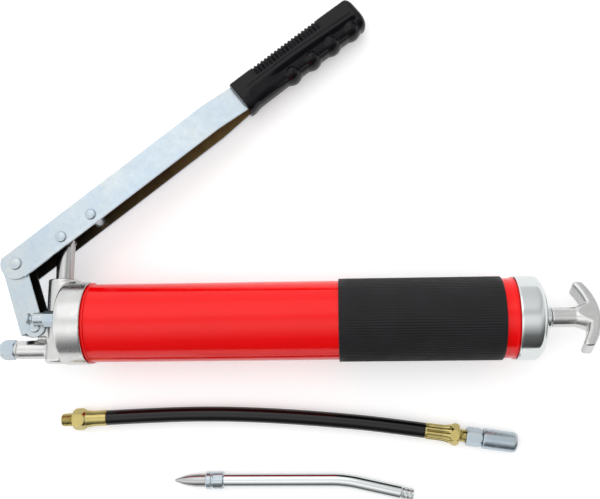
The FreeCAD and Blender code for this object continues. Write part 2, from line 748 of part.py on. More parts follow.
# ---------------------------------------------------------------- link, in its own frame at its foot
def build_link():
    head = ("0", LINK_LENGTH)
    foot = ("0", "0")
    plate = box("link_plate", ("0 - link_web", "0 - link_heel", f"0 - {LINK_HALF}"),
                ("link_edge", f"{LINK_LENGTH} + link_top", LINK_HALF))
    ears = [rod(f"link_ear_{number}", "z", "link_ear", f"0 - {LINK_HALF}", LINK_HALF, at)
            for number, at in enumerate((foot, head))]
    room = box("link_room",
               ("0 - link_web + link_wall", "0 - link_ear - 1", f"0 - {LINK_HALF} + link_wall"),
               ("link_ear + 1", f"{LINK_LENGTH} + link_ear + 1", f"{LINK_HALF} - link_wall"))
    reach = f"{LINK_HALF} + 1"
    link = cut("link", fuse("link_blank", plate, *ears), room,
               rod("link_foot_hole", "z", "pin_radius", f"0 - ({reach})", reach, foot),
               rod("link_head_hole", "z", "pin_radius + loop_gap", f"0 - ({reach})", reach, head))
    keep("link_channel", link, "link")
    keep("link_pin", rivet("link_pin", foot, LINK_HALF, "rivet_head"), "link")


# ---------------------------------------------------------------- follower, rod and handle
def build_follower():
    hole = "rod_radius + rod_gap"
    wall = "tube_radius - tube_wall"
    lip = f"{wall} - thread_gap"
    keep("follower_front_plate", turned("front_plate_disc", [
        (PLATE_START, hole), (CUP_START, hole),
        (CUP_START, "front_plate"), (PLATE_START, "front_plate")]), "gun")
    keep("follower_cup", turned("cup_seal", [
        (CUP_START, hole), (BACK_START, hole), (BACK_START, lip), (f"{CUP_START} - lip_long", lip),
        (f"{CUP_START} - lip_long", f"{lip} - lip_thick"), (f"{CUP_START} + cup_lip", f"{lip} - cup_lip"),
        (CUP_START, "front_plate + face_gap")]), "gun")
    keep("follower_back_plate", turned("back_plate_disc", [
        (BACK_START, hole), (BACK_END, hole), (BACK_END, "back_plate"), (BACK_START, "back_plate")]), "gun")
    wire = size("spring_wire")
    start = size(f"{BACK_END} + wire_gap") + wire
    end = size(f"{CAP_INNER} - wire_gap") - wire
    keep_shape("follower_spring", spring_shape(start, end, size("spring_radius"), wire,
                                               SIZES["spring_turns"]), "gun")


def build_rod():
    bar = turned("rod_bar", [
        ("rod_tip", "0"), (ROD_BACK, "0"), (ROD_BACK, "rod_radius"), (NOTCH_END, "rod_radius"),
        (NOTCH_END, "notch_radius"), (NOTCH_START, "notch_radius"), (NOTCH_START, "rod_radius"),
        ("rod_tip", "rod_radius")])
    pin = rod("cross_pin_bar", "z", "cross_pin", "cross_pin_short - stem_radius", CROSS_PIN_END,
              CROSS_PIN_AT)
    keep("follower_rod", cut("rod_drilled", bar, pin), "handle")
    keep("handle_pin", solo("handle_cross_pin", pin), "handle")
    nut = cut("nut", hexagon("nut_hex", "nut_flats", "rod_tip", NUT_BACK),
              rod("nut_hole", "x", "rod_radius", "rod_tip - 1", f"{NUT_BACK} + 1"))
    keep("rod_nut", nut, "handle")
    clip_start = f"{BACK_END} + face_gap"
    clip_end = f"{clip_start} + clip_thick"
    keep("rod_clip", turned("clip_ring", [(clip_start, "rod_radius"), (clip_end, "rod_radius"),
                                          (clip_end, "rod_radius + clip_width"),
                                          (clip_start, "rod_radius + clip_width")]), "handle")


def build_handle():
    top = HANDLE_TOP
    outer = rod("handle_outer_disc", "z", "handle_outer", "0 - handle_half", "handle_half",
                (f"{top} - handle_outer", "0"))
    inner = rod("handle_inner_disc", "z", "handle_inner", "0 - handle_half - 1", "handle_half + 1",
                (f"{top} - handle_thick - handle_inner", "0"))
    limit = box("handle_limit", (f"{top} - handle_outer", "0 - handle_span", "0 - handle_half"),
                (f"{top} + 1", "handle_span", "handle_half"))
    bar = common("handle_bar", cut("handle_crescent", outer, inner), limit)
    bar = rounded("handle_bar_edges", bar, "handle_edge", lambda edge: True)
    stem = rod("handle_stem", "x", "stem_radius", STEM_START, f"{top} - stem_sunk")
    flare = cone("handle_flare", "x", "stem_radius", "stem_radius + flare_widen", f"{top} - flare_start",
                 f"{top} - flare_end")
    reach = "stem_radius + flare_widen + 1"
    flat = box("handle_flare_limit", (f"{top} - flare_start - 1", f"0 - ({reach})", "0 - handle_half"),
               (f"{top} - flare_end + 1", reach, "handle_half"))
    handle = cut("handle", fuse("handle_blank", bar, stem, common("handle_web", flare, flat)),
                 rod("handle_socket", "x", "rod_radius", f"{STEM_START} - 1", ROD_BACK),
                 rod("handle_pin_hole", "z", "cross_pin", "0 - stem_radius - 1", CROSS_PIN_END,
                     CROSS_PIN_AT))
    keep("t_handle", handle, "handle")


# ------------------------------------------------------------ hose ends, each in a frame along its own x
def build_hose_ends():
    bore = "hose_bore"
    # Inlet end: x points from the ferrule's free face out to the thread.
    hex_end = "inlet_ferrule + inlet_hex"
    thread_end = f"{hex_end} + inlet_thread"
    keep("inlet_ferrule", hollow("inlet_ferrule_part", "x", "ferrule_radius", "stem_bore", "0",
                                 "inlet_ferrule"), "inlet")
    keep("inlet_fitting", cut(
        "inlet_fitting_part",
        fuse("inlet_fitting_blank", rod("inlet_stem", "x", "stem_bore", "0", "inlet_ferrule"),
             hexagon("inlet_hexagon", "hose_flats", "inlet_ferrule", hex_end),
             rod("inlet_thread_rod", "x", "hose_thread", hex_end, thread_end)),
        rod("inlet_hole", "x", bore, "0 - 1", f"{thread_end} + 1")), "inlet")
    # Coupler end: x points from the ferrule's free face out to the coupler's mouth.
    hex_start = "tip_ferrule_long"
    neck_start = f"{hex_start} + tip_hex"
    neck_end = f"{neck_start} + tip_neck"
    ferrule = hollow("tip_ferrule_part", "x", "ferrule_radius", "stem_bore", "0", hex_start)
    keep("tip_ferrule", ferrule, "tip")
    keep("tip_fitting", cut(
        "tip_fitting_part",
        fuse("tip_fitting_blank", rod("tip_stem", "x", "stem_bore", "0", hex_start),
             hexagon("tip_hexagon", "hose_flats", hex_start, neck_start),
             rod("tip_thread", "x", "hose_thread", neck_start, f"{neck_end} + adapter_overlap")),
        rod("tip_hole", "x", bore, "0 - 1", f"{neck_end} + adapter_overlap + 1")), "tip")
    adapter_start = neck_end
    body_start = f"{adapter_start} + adapter_hex"
    spigot_end = f"{body_start} + adapter_spigot"
    keep("coupler_adapter", cut(
        "adapter_part",
        fuse("adapter_blank", hexagon("adapter_hexagon", "adapter_flats", adapter_start, body_start),
             rod("adapter_spigot", "x", "coupler_bore", body_start, spigot_end)),
        rod("adapter_tapping", "x", "hose_thread", f"{adapter_start} - 1",
            f"{adapter_start} + adapter_thread"),
        rod("adapter_hole", "x", bore, adapter_start, f"{spigot_end} + 1")), "tip")
    mouth = f"{body_start} + coupler_length"
    lip_start = f"{mouth} - mouth_lip"
    keep("coupler_body", cut(
        "coupler_part", rod("coupler_outer", "x", "coupler_radius", body_start, mouth),
        rod("coupler_hollow", "x", "coupler_bore", f"{body_start} - 1", lip_start),
        rod("coupler_mouth", "x", "mouth_radius", lip_start, f"{mouth} + 1")), "tip")
    jaw_end = f"{lip_start} - face_gap"
    jaw_start = f"{jaw_end} - jaw_length"
    slits = [box(f"jaw_gap_{axis}", (f"{jaw_start} - 1", f"0 - {across}", f"0 - {up}"), (mouth, across, up))
             for axis, across, up in (("y", "jaw_slot / 2", "coupler_bore"),
                                      ("z", "coupler_bore", "jaw_slot / 2"))]
    ring = hollow("jaw_ring", "x", "coupler_bore - face_gap", "jaw_bore", jaw_start, jaw_end)
    keep("coupler_jaws", cut("jaw_set", ring, *slits), "tip")
    seal_start = f"{jaw_start} - seal_length"
    keep("coupler_seal", hollow("seal_part", "x", "coupler_bore - face_gap", "seal_bore", seal_start,
                                jaw_start), "tip")
    wire = size("coupler_wire")
    start = size(f"{spigot_end} + wire_gap") + wire
    end = size(f"{seal_start} - wire_gap") - wire
    keep_shape("coupler_spring", spring_shape(start, end, size("coupler_coil"), wire,
                                              SIZES["coupler_turns"]), "tip")


def route_wire(points, share):
    """Straight runs joined by arcs; each arc takes the same share of the shorter of its two runs."""
    edges = []
    start = points[0]
    for before, here, after in zip(points, points[1:], points[2:]):
        into = (here - before).normalize()
        out = (after - here).normalize()
        half_turn = into.getAngle(out) / 2
        setback = share * min((here - before).Length, (after - here).Length)
        radius = setback / math.tan(half_turn)
        one = here - into * setback
        other = here + out * setback
        towards = (out - into).normalize()
        middle = here + towards * (radius / math.cos(half_turn) - radius)
        edges.append(Part.LineSegment(start, one).toShape())
        edges.append(Part.Arc(one, middle, other).toShape())
        start = other
        print(f"hose turn {math.degrees(2 * half_turn):.2f} degrees, radius {radius:.1f} mm")
    edges.append(Part.LineSegment(start, points[-1]).toShape())
    return Part.Wire(edges)


def swept(wire, start, direction, radius):
    circle = Part.Wire(Part.makeCircle(radius, start, direction))
    return wire.makePipeShell([circle], True, False)


def build_hose():
    height = size("hose_height")
    points = [Vector(across, up, height) for across, up in HOSE_ROUTE]
    wire = route_wire(points, SIZES["hose_arc_share"])
    solid = swept(wire, points[0], points[1] - points[0], size("hose_radius"))
    expected = math.pi * size("hose_radius") ** 2 * wire.Length
    print(f"hose length {wire.Length:.2f} mm, volume {solid.Volume:.1f} against {expected:.1f}")
    keep_shape("hose", solid, "table")


def build_pipe():
    """Pipe in its own frame: x runs from the nozzle's tip to the threaded end."""
    collar_start = "nozzle_cone + nozzle_length"
    collar_end = f"{collar_start} + pipe_collar_long"
    seat = f"{collar_start} + nozzle_seat"
    nozzle = cut("nozzle_part", fuse(
        "nozzle_blank",
        cone("nozzle_point", "x", "nozzle_tip", "nozzle_middle", "0", "nozzle_shoulder"),
        cone("nozzle_taper", "x", "nozzle_middle", "nozzle_radius", "nozzle_shoulder", "nozzle_cone"),
        rod("nozzle_barrel", "x", "nozzle_radius", "nozzle_cone", seat)),
        rod("nozzle_hole", "x", "nozzle_bore", "0 - 1", f"{seat} + 1"))
    keep("pipe_nozzle", nozzle, "pipe")
    collar = cut("pipe_collar_part",
                 rod("pipe_collar_outer", "x", "pipe_collar_radius", collar_start, collar_end),
                 rod("pipe_collar_front", "x", "nozzle_radius", f"{collar_start} - 1", seat),
                 rod("pipe_collar_back", "x", "pipe_radius", seat, f"{collar_end} + 1"))
    keep("pipe_collar", collar, "pipe")
    start = Vector(size(seat), 0, 0)
    turn = math.radians(size("pipe_turn"))
    radius = size("pipe_bend")
    corner = Vector(size(f"{collar_end} + pipe_straight"), 0, 0)
    setback = radius * math.tan(abs(turn) / 2)
    out = Vector(math.cos(turn), math.sin(turn), 0)
    one = corner - Vector(setback, 0, 0)
    other = corner + out * setback
    middle = one + Vector(radius * math.sin(abs(turn) / 2), -radius * (1 - math.cos(turn / 2)), 0)
    end = corner + out * size("pipe_leg")
    thread_start = end - out * size("pipe_thread")
    wire = Part.Wire([Part.LineSegment(start, one).toShape(), Part.Arc(one, middle, other).toShape(),
                      Part.LineSegment(other, thread_start).toShape()])
    full = Part.Wire([Part.LineSegment(start, one).toShape(), Part.Arc(one, middle, other).toShape(),
                      Part.LineSegment(other, end).toShape()])
    along = Vector(1, 0, 0)
    outer = swept(wire, start, along, size("pipe_radius"))
    thread = Part.makeCylinder(size("hose_thread"), size("pipe_thread"), thread_start, out)
    hollow = swept(full, start, along, size("pipe_bore"))
    keep_shape("pipe_tube", outer.fuse(thread).cut(hollow).removeSplitter(), "pipe")


for build in (build_barrel, build_cap, build_head, build_outlet, build_filler, build_plunger, build_lever,
              build_grip, build_link, build_follower, build_rod, build_handle, build_hose_ends, build_hose,
              build_pipe):
    build()
    doc.recompute()

# ---------------------------------------------------------------- frames on the table
ABOUT_X = Vector(1, 0, 0)
ABOUT_Z = Vector(0, 0, 1)
contact = size(CUP_RADIUS)


def spin(axis, angle, base=Vector()):
    return FreeCAD.Placement(base, FreeCAD.Rotation(axis, angle))


def grip_low(roll):
    """Lowest point of the lever's grip below the barrel's axis with the gun rolled by this angle."""
    shape = PIECES["lever_grip"][0].Shape.copy()
    shape.Placement = spin(ABOUT_X, roll).multiply(LEVER_FRAME)
    return -shape.optimalBoundingBox(True, False).ZMin


LEVER_FRAME = spin(ABOUT_Z, size("lever_angle"), Vector(0, size(PIN_HEIGHT), 0))
lean = math.degrees(math.atan2(size(LINK_LEAN), size(LINK_RISE)))
LINK_FRAME = spin(ABOUT_Z, lean, Vector(*[size(text) for text in LINK_FOOT], 0))

# The gun lies on its head and cap, rolled until the grip's end touches the table too.
low, high = -20.0, 0.0
for _ in range(24):
    middle = (low + high) / 2
    if grip_low(middle) > contact - size("table_gap"):
        low = middle
    else:
        high = middle
roll = high
GUN = FreeCAD.Placement(Vector(0, 0, contact), FreeCAD.Rotation(ABOUT_X, roll))


def end_frame(tip, before):
    """Frame at one end of the hose, with x pointing out of the hose."""
    turn = math.degrees(math.atan2(tip[1] - before[1], tip[0] - before[0]))
    return spin(ABOUT_Z, turn, Vector(tip[0], tip[1], size("hose_height")))


FRAMES = {
    "gun": GUN,
    "lever": GUN.multiply(LEVER_FRAME),
    "link": GUN.multiply(LINK_FRAME),
    "handle": GUN.multiply(spin(ABOUT_X, size("handle_turn"))),
    "table": FreeCAD.Placement(),
    "inlet": end_frame(HOSE_ROUTE[0], HOSE_ROUTE[1]),
    "tip": end_frame(HOSE_ROUTE[-1], HOSE_ROUTE[-2]),
    "pipe": spin(ABOUT_Z, 0, Vector(*PIPE_TIP, size("pipe_height"))),
}
for piece, group in PIECES.values():
    piece.Placement = FRAMES[group].multiply(piece.Placement)
doc.recompute()

# The origin is the middle of the bounding box's floor, the hose's own tube left out.
bounds = FreeCAD.BoundBox()
for name, (piece, group) in PIECES.items():
    if name != "hose":
        bounds.add(piece.Shape.optimalBoundingBox(True, False))
shift = spin(ABOUT_X, 0, Vector(-bounds.Center.x, -bounds.Center.y, -bounds.ZMin))
for piece, group in PIECES.values():
    piece.Placement = shift.multiply(piece.Placement)
doc.recompute()

for item in doc.Objects:
    assert "Invalid" not in item.State and "Error" not in item.State, f"{item.Name} failed: {item.State}"
for name, (piece, group) in PIECES.items():
    assert not piece.Shape.isNull() and piece.Shape.isValid(), f"{name} has a bad shape"
    piece.Shape.exportStep(f"parts/{name}.step")


def report(label, frame, spot, direction=(0, 0, 1)):
    """Prints a point and a direction in the finished frame."""
    pose = shift.multiply(FRAMES[frame])
    point = pose.multVec(Vector(*spot))
    way = pose.Rotation.multVec(Vector(*direction))
    print(f"point {label} {point.x:.4f} {point.y:.4f} {point.z:.4f}",
          f"along {way.x:.6f} {way.y:.6f} {way.z:.6f}")


report("gun_origin", "gun", (0, 0, 0), (1, 0, 0))
report("lever_pin", "lever", (0, 0, 0))
report("link_foot", "link", (0, 0, 0))
report("fulcrum", "lever", (-size("fulcrum_back"), size("fulcrum_up"), 0))
report("plunger_axis", "gun", (0, size(PIN_HEIGHT), 0), (0, 1, 0))
report("outlet_mouth", "gun", (size(VALVE_END), -size("outlet_drop"), 0), (-1, 0, 0))
report("outlet_seat", "gun", (-size("seat_back"), -size("outlet_drop"), 0), (-1, 0, 0))
report("filler_axis", "gun", (size("cup_front"), size("filler_rise"), size("filler_near")), (-1, 0, 0))
report("inlet_end", "inlet", (size("inlet_ferrule + inlet_hex + inlet_thread"), 0, 0), (1, 0, 0))
report("hose_start", "inlet", (0, 0, 0), (1, 0, 0))
report("hose_end", "tip", (0, 0, 0), (1, 0, 0))
mouth_at = size("tip_ferrule_long + tip_hex + tip_neck + adapter_hex + coupler_length")
report("coupler_mouth", "tip", (mouth_at, 0, 0), (1, 0, 0))
pipe_turn = math.radians(size("pipe_turn"))
pipe_corner = size("nozzle_cone + nozzle_length + pipe_collar_long + pipe_straight")
report("pipe_end", "pipe", (pipe_corner + size("pipe_leg") * math.cos(pipe_turn),
                            size("pipe_leg") * math.sin(pipe_turn), 0),
       (math.cos(pipe_turn), math.sin(pipe_turn), 0))
report("table_zero", "table", (0, 0, 0))
print(f"roll {roll:.4f} link lean {lean:.4f} link length {size(LINK_LENGTH):.4f}")
print(f"pieces {len(PIECES)}")
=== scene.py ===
"""Looks of a lever grease gun lying on its side, with its flexible hose and bent pipe beside it.

Pieces are surfaces worked out with numpy in one of a few local frames, in millimetres, and put into
the row's frame in metres. A local frame's x runs along the piece.
"""

import json
import math

import bmesh
import bpy
import numpy as np
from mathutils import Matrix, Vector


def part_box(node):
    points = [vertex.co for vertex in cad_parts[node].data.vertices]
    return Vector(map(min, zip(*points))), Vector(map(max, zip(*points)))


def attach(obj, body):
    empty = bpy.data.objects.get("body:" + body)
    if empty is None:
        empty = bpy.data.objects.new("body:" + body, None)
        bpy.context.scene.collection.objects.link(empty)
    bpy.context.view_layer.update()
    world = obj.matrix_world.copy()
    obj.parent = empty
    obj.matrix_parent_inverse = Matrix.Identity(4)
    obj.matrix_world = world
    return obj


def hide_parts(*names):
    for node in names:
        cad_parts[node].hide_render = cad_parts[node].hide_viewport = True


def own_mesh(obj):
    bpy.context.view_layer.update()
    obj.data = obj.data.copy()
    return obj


bl_info = {
    "name": "Lever grease gun",
    "version": (1, 0, 0),
    "blender": (4, 5, 0),
    "location": "View3D > Sidebar > Grease gun",
    "description": "Builds the looks of a lever grease gun with its hose and pipe",
    "category": "Add Mesh",
}

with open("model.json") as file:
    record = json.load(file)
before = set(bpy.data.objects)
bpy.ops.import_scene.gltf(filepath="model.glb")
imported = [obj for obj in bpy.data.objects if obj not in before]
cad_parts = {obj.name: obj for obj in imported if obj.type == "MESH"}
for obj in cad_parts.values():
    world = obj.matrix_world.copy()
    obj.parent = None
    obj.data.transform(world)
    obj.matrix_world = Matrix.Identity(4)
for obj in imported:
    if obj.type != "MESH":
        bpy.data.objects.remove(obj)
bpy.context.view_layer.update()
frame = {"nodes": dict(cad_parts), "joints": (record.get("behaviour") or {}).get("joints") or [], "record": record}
MM = 0.001
JOINTS = {joint["name"]: joint for joint in frame["joints"]}
MOUNTS = {mount["name"]: mount for mount in frame["record"]["mounts"]}
UP = np.array([0.0, 0.0, 1.0])


# ---------------- local frames
def local_frame(origin, along, up):
    """Origin and three unit rows: x along, z as near up as can be, and y across."""
    x = np.asarray(along, float) / np.linalg.norm(along)
    z = np.asarray(up, float) - x * np.dot(x, up)
    z /= np.linalg.norm(z)
    return np.asarray(origin, float), np.array([x, np.cross(z, x), z])


def turned_frame(base, origin, angle):
    """A frame turned about its own z by an angle in degrees."""
    x, y, z = base[1]
    turn = math.radians(angle)
    return local_frame(origin, math.cos(turn) * x + math.sin(turn) * y, z)


def into_row(place, points):
    """Row frame point = origin + millimetres carried along the frame's three unit rows."""
    return place[0] + MM * np.asarray(points, float) @ place[1]


def into_local(place, points):
    """The inverse: offset from the origin measured along the three rows, in millimetres."""
    return (np.asarray(points, float) - place[0]) @ place[1].T / MM


# Angles of the lever and the link to the barrel at rest, in degrees.
LEVER_ANGLE, LINK_ANGLE = 37.9, 19.05
PIN_AXIS = JOINTS["lever_swing"]["axis"]
GUN = local_frame(JOINTS["handle_turn"]["pos_m"], (1, 0, 0), PIN_AXIS)
LEVER = turned_frame(GUN, JOINTS["lever_swing"]["pos_m"], LEVER_ANGLE)
LINK = turned_frame(GUN, JOINTS["link_swing"]["pos_m"], LINK_ANGLE)


def mount_end(name, beyond):
    """Point past a mount's own point by so many millimetres, and the mount's axis."""
    axis = np.array(MOUNTS[name]["axis"], float)
    return np.array(MOUNTS[name]["pos_m"], float) + axis * beyond * MM, axis


# From a ferrule's start to the coupler's mouth, and to the hose's threaded end.
TIP_LONG, INLET_LONG = 66.7, 34.2
# From each mount's own point to the end of its piece.
MOUTH_PAST, INLET_PAST, PIPE_PAST = 5.9, 4.45, 4.5
mouth, mouth_axis = mount_end("coupler_bore", MOUTH_PAST)
thread_end, thread_axis = mount_end("hose_thread", INLET_PAST)
pipe_end, pipe_axis = mount_end("pipe_thread", PIPE_PAST)
TIP = local_frame(mouth - mouth_axis * TIP_LONG * MM, mouth_axis, UP)
INLET = local_frame(thread_end - thread_axis * INLET_LONG * MM, thread_axis, UP)
nozzle_low, nozzle_high = (np.array(corner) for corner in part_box("pipe_nozzle"))
nozzle_middle = (nozzle_low + nozzle_high) / 2
PIPE = local_frame((nozzle_low[0], nozzle_middle[1], nozzle_middle[2]), (1, 0, 0), UP)


def span(node):
    """Start and end of a CAD node along the gun, in millimetres from its frame's origin."""
    low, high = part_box(node)
    return (low[0] - GUN[0][0]) / MM, (high[0] - GUN[0][0]) / MM


# ---------------- materials
FINISHES = {}


def new_node(tree, kind, **inputs):
    """New shader node, with numbers, vectors or colours set on its inputs."""
    node = tree.nodes.new(f"ShaderNode{kind}")
    for entry, value in inputs.items():
        node.inputs[entry.replace("_", " ")].default_value = value
    return node


class Finish:
    """A Principled material whose patterns read Object coordinates."""

    def __init__(self, name, color, metallic, roughness, **constants):
        self.material = bpy.data.materials.new(f"{name}_finish")
        FINISHES[name] = self.material
        self.material.use_nodes = True
        self.tree = self.material.node_tree
        self.shader = self.tree.nodes["Principled BSDF"]
        self.color = (*color, 1.0)
        constants.update(Base_Color=self.color, Metallic=metallic, Roughness=roughness)
        for socket, value in constants.items():
            self.shader.inputs[socket.replace("_", " ")].default_value = value
        self.place = new_node(self.tree, "TexCoord").outputs["Object"]

    def link(self, output, entry):
        self.tree.links.new(output, entry)

    def pattern(self, source):
        """Noise from 0 to 1, given (cells in a metre, detail), or X, Y or Z in metres."""
        if source in ("X", "Y", "Z"):
            node, output = new_node(self.tree, "SeparateXYZ"), source
        else:
            node, output = new_node(self.tree, "TexNoise", Scale=source[0], Detail=source[1]), "Fac"
        self.link(self.place, node.inputs["Vector"])
        return node.outputs[output]

    def ranged(self, source, low, high, start=0.3, end=0.7):
        """A pattern's middle part stretched to run from low to high."""
        node = new_node(self.tree, "MapRange", From_Min=start, From_Max=end, To_Min=low,
                        To_Max=high)
        self.link(self.pattern(source), node.inputs["Value"])
        return node.outputs["Result"]

    def tint(self, source, other, start=0.3, end=0.7):
        """Base colour that goes over to another where the pattern is high."""
        node = new_node(self.tree, "Mix")
        node.data_type = "RGBA"
        entry = self.shader.inputs["Base Color"]
        if entry.is_linked:
            self.link(entry.links[0].from_socket, node.inputs["A"])
        else:
            node.inputs["A"].default_value = self.color
        node.inputs["B"].default_value = (*other, 1.0)
        self.link(self.ranged(source, 0.0, 1.0, start, end), node.inputs["Factor"])
        self.link(node.outputs["Result"], entry)
        return self

    def rough(self, source, low, high):
        """Roughness that varies with the pattern from low to high."""
        self.link(self.ranged(source, low, high), self.shader.inputs["Roughness"])
        return self

    def bump(self, source, depth, strength):
        """Bump of a given depth in millimetres, added to any bump already there."""
        node = new_node(self.tree, "Bump", Distance=depth * MM, Strength=strength)
        entry = self.shader.inputs["Normal"]
        if entry.is_linked:
            self.link(entry.links[0].from_socket, node.inputs["Normal"])
        self.link(self.pattern(source), node.inputs["Height"])
        self.link(node.outputs["Normal"], entry)
        return self


def build_finishes(colors):
    """Every material of the gun, kept by its slot's name."""
    red = Finish("red_enamel", colors.enamel, 0.0, 0.14, Specular_IOR_Level=0.3)
    red.bump((260, 1.0), 0.05, 0.15).rough((90, 3.0), 0.1, 0.18)
    red.tint((25, 2.0), tuple(0.95 * part for part in colors.enamel))

    sleeve = Finish("ribbed_rubber", (0.0075, 0.0075, 0.0085), 0.0, 0.5, Specular_IOR_Level=0.22)
    sleeve.bump((1800, 3.0), 0.05, 0.5).rough((120, 3.0), 0.42, 0.56)
    sleeve.tint((60, 4.0), (0.012, 0.012, 0.014))

    chrome = Finish("chrome", (0.62, 0.65, 0.65), 1.0, 0.1)
    chrome.rough((70, 3.0), 0.1, 0.18).bump((900, 2.0), 0.004, 0.4)

    aluminium = Finish("cast_aluminium", (0.60, 0.60, 0.59), 1.0, 0.24)
    aluminium.rough((240, 4.0), 0.2, 0.3).bump((1500, 4.0), 0.02, 0.3)
    aluminium.tint((90, 4.0), (0.54, 0.54, 0.54)).bump((120, 2.0), 0.06, 0.15)

    zinc = Finish("zinc_plate", (0.40, 0.48, 0.55), 1.0, 0.3)
    zinc.tint((35, 3.0), (0.49, 0.53, 0.54)).tint((300, 4.0), (0.39, 0.46, 0.54), 0.5, 0.8)
    zinc.rough((180, 4.0), 0.24, 0.34).bump((700, 3.0), 0.02, 0.25)

    # The channel's inside carries painted shade: nearly black by the pump, where it lies in deep shadow, going
    # over to golden brown towards the grip, partly the chromate's own tone and partly painted shade.
    inside = Finish("zinc_with_painted_shade", (0.012, 0.011, 0.009), 0.6, 0.4)
    inside.tint("X", (0.42, 0.29, 0.12), -0.17, -0.03)
    inside.tint((40, 3.0), (0.07, 0.05, 0.025), 0.5, 0.9).rough((200, 3.0), 0.3, 0.5)

    steel = Finish("steel", (0.42, 0.42, 0.42), 1.0, 0.2)
    steel.rough((160, 3.0), 0.14, 0.26).bump((1200, 2.0), 0.01, 0.3)

    coil = Finish("spring_steel", (0.33, 0.33, 0.34), 1.0, 0.3)
    coil.rough((400, 2.0), 0.2, 0.42)

    brass = Finish("brass", (0.50, 0.40, 0.15), 1.0, 0.18)
    brass.tint((110, 3.0), (0.42, 0.36, 0.14)).rough((260, 3.0), 0.12, 0.25)
    brass.bump((900, 2.0), 0.015, 0.3)

    hose = Finish("hose_rubber", (0.002, 0.002, 0.002), 0.0, 0.16, Specular_IOR_Level=0.35)
    hose.rough((300, 3.0), 0.12, 0.22).bump((1600, 2.0), 0.02, 0.3)

    seal = Finish("seal_rubber", (0.02, 0.02, 0.02), 0.0, 0.5)
    seal.rough((300, 2.0), 0.42, 0.6).bump((1500, 2.0), 0.02, 0.4)

    vinyl = Finish("grip_vinyl", (0.004, 0.004, 0.0055), 0.0, 0.2, Specular_IOR_Level=0.2)
    vinyl.rough((140, 4.0), 0.14, 0.26).bump((1100, 3.0), 0.02, 0.3)

    washer = Finish("washer", (0.55, 0.56, 0.56), 1.0, 0.4)
    washer.rough((500, 3.0), 0.32, 0.5)


# ---------------- meshes
SHARP_ANGLE = 38


def add_object(name, data):
    """New object of the scene that holds the data."""
    made = bpy.data.objects.new(name, data)
    bpy.context.scene.collection.objects.link(made)
    return made


def add_piece(name, mesh, slot, body, node):
    """New piece in its slot's material, with its body and the CAD node that it stands for."""
    mesh.materials.append(FINISHES[slot])
    piece = add_object(name, mesh)
    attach(piece, body)
    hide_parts(node)
    return piece


def clean(mesh, sharp):
    """Merges doubled points, points faces outwards and shades smooth up to an angle in degrees."""
    shell = bmesh.new()
    shell.from_mesh(mesh)
    bmesh.ops.remove_doubles(shell, verts=shell.verts, dist=1e-7)
    bmesh.ops.recalc_face_normals(shell, faces=shell.faces)
    shell.to_mesh(mesh)
    shell.free()
    mesh.polygons.foreach_set("use_smooth", np.ones(len(mesh.polygons), bool))
    mesh.set_sharp_from_angle(angle=math.radians(sharp))
    mesh.update()


def new_piece(name, grids, place, slot, node, body="gun_body", sharp=SHARP_ANGLE):
    """Piece in a CAD node's stead, from grids of (points, rows closed, columns closed).

    A face joins each point to its next row and next column, and a closed direction joins back to
    its start.
    """
    points, faces, count = [], [], 0
    for grid, rows_closed, columns_closed in grids:
        grid = np.asarray(grid, float)
        index = np.arange(grid.shape[0] * grid.shape[1]).reshape(grid.shape[:2]) + count
        count += index.size
        if rows_closed:
            index = np.vstack([index, index[:1]])
        if columns_closed:
            index = np.hstack([index, index[:, :1]])
        corners = (index[:-1, :-1], index[1:, :-1], index[1:, 1:], index[:-1, 1:])
        faces.append(np.stack(corners, -1).reshape(-1, 4))
        points.append(into_row(place, grid.reshape(-1, 3)))
    mesh = bpy.data.meshes.new(name)
    mesh.from_pydata(np.concatenate(points).tolist(), [], np.concatenate(faces).tolist())
    clean(mesh, sharp)
    return add_piece(name, mesh, slot, body, node)


def cad_copy(name, node, slot, body, flat=0.6):
    """Copy of a CAD node with its doubled points merged, to take modifiers.

    Faces that lie flat to within an angle in degrees are made whole; 0 keeps them all.
    """
    mesh = frame["nodes"][node].data.copy()
    mesh.name = name
    shell = bmesh.new()
    shell.from_mesh(mesh)
    bmesh.ops.remove_doubles(shell, verts=shell.verts, dist=2e-6)
    if flat:
        bmesh.ops.dissolve_limit(shell, angle_limit=math.radians(flat), verts=shell.verts,
                                 edges=shell.edges)
    shell.to_mesh(mesh)
    shell.free()
    clean(mesh, SHARP_ANGLE)
    mesh.materials.clear()
    return add_piece(name, mesh, slot, body, node)


def read_vectors(items, name):
    """One vector of every vertex or face, as the rows of an array."""
    values = np.empty(len(items) * 3)
    items.foreach_get(name, values)
    return values.reshape(-1, 3)


def spring(name, node, joint):
    """Copy of a CAD spring, in spring steel. Its points are measured along its joint's axis, but it keeps the
    CAD's length.
    """
    piece = cad_copy(name, node, "spring_steel", "gun_body", flat=0)
    way = np.array(JOINTS[joint]["axis"], float)
    run = read_vectors(piece.data.vertices, "co") @ way
    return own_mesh(piece)


def bevelled(piece, width):
    """Rounds the sharper edges by a width in millimetres, as on pressed or machined metal."""
    bevel = piece.modifiers.new("edges", "BEVEL")
    bevel.width = width * MM
    bevel.segments = 3
    bevel.limit_method = "ANGLE"
    bevel.angle_limit = math.radians(35)
    bevel.harden_normals = True
    return piece


def cast(piece, cell, passes):
    """Remakes a shape as an even skin of cells in millimetres and smooths it.

    That rounds its corners and fills its joints, as casting does.
    """
    skin = piece.modifiers.new("skin", "REMESH")
    skin.mode = "VOXEL"
    skin.voxel_size = cell * MM
    skin.use_smooth_shade = True
    ease = piece.modifiers.new("ease", "SMOOTH")
    ease.factor = 0.5
    ease.iterations = passes
    return piece


def dress(finish, *nodes):
    """Gives CAD nodes that are kept as they are one of the materials."""
    for node in nodes:
        for holder in frame["nodes"][node].material_slots:
            holder.material = FINISHES[finish]


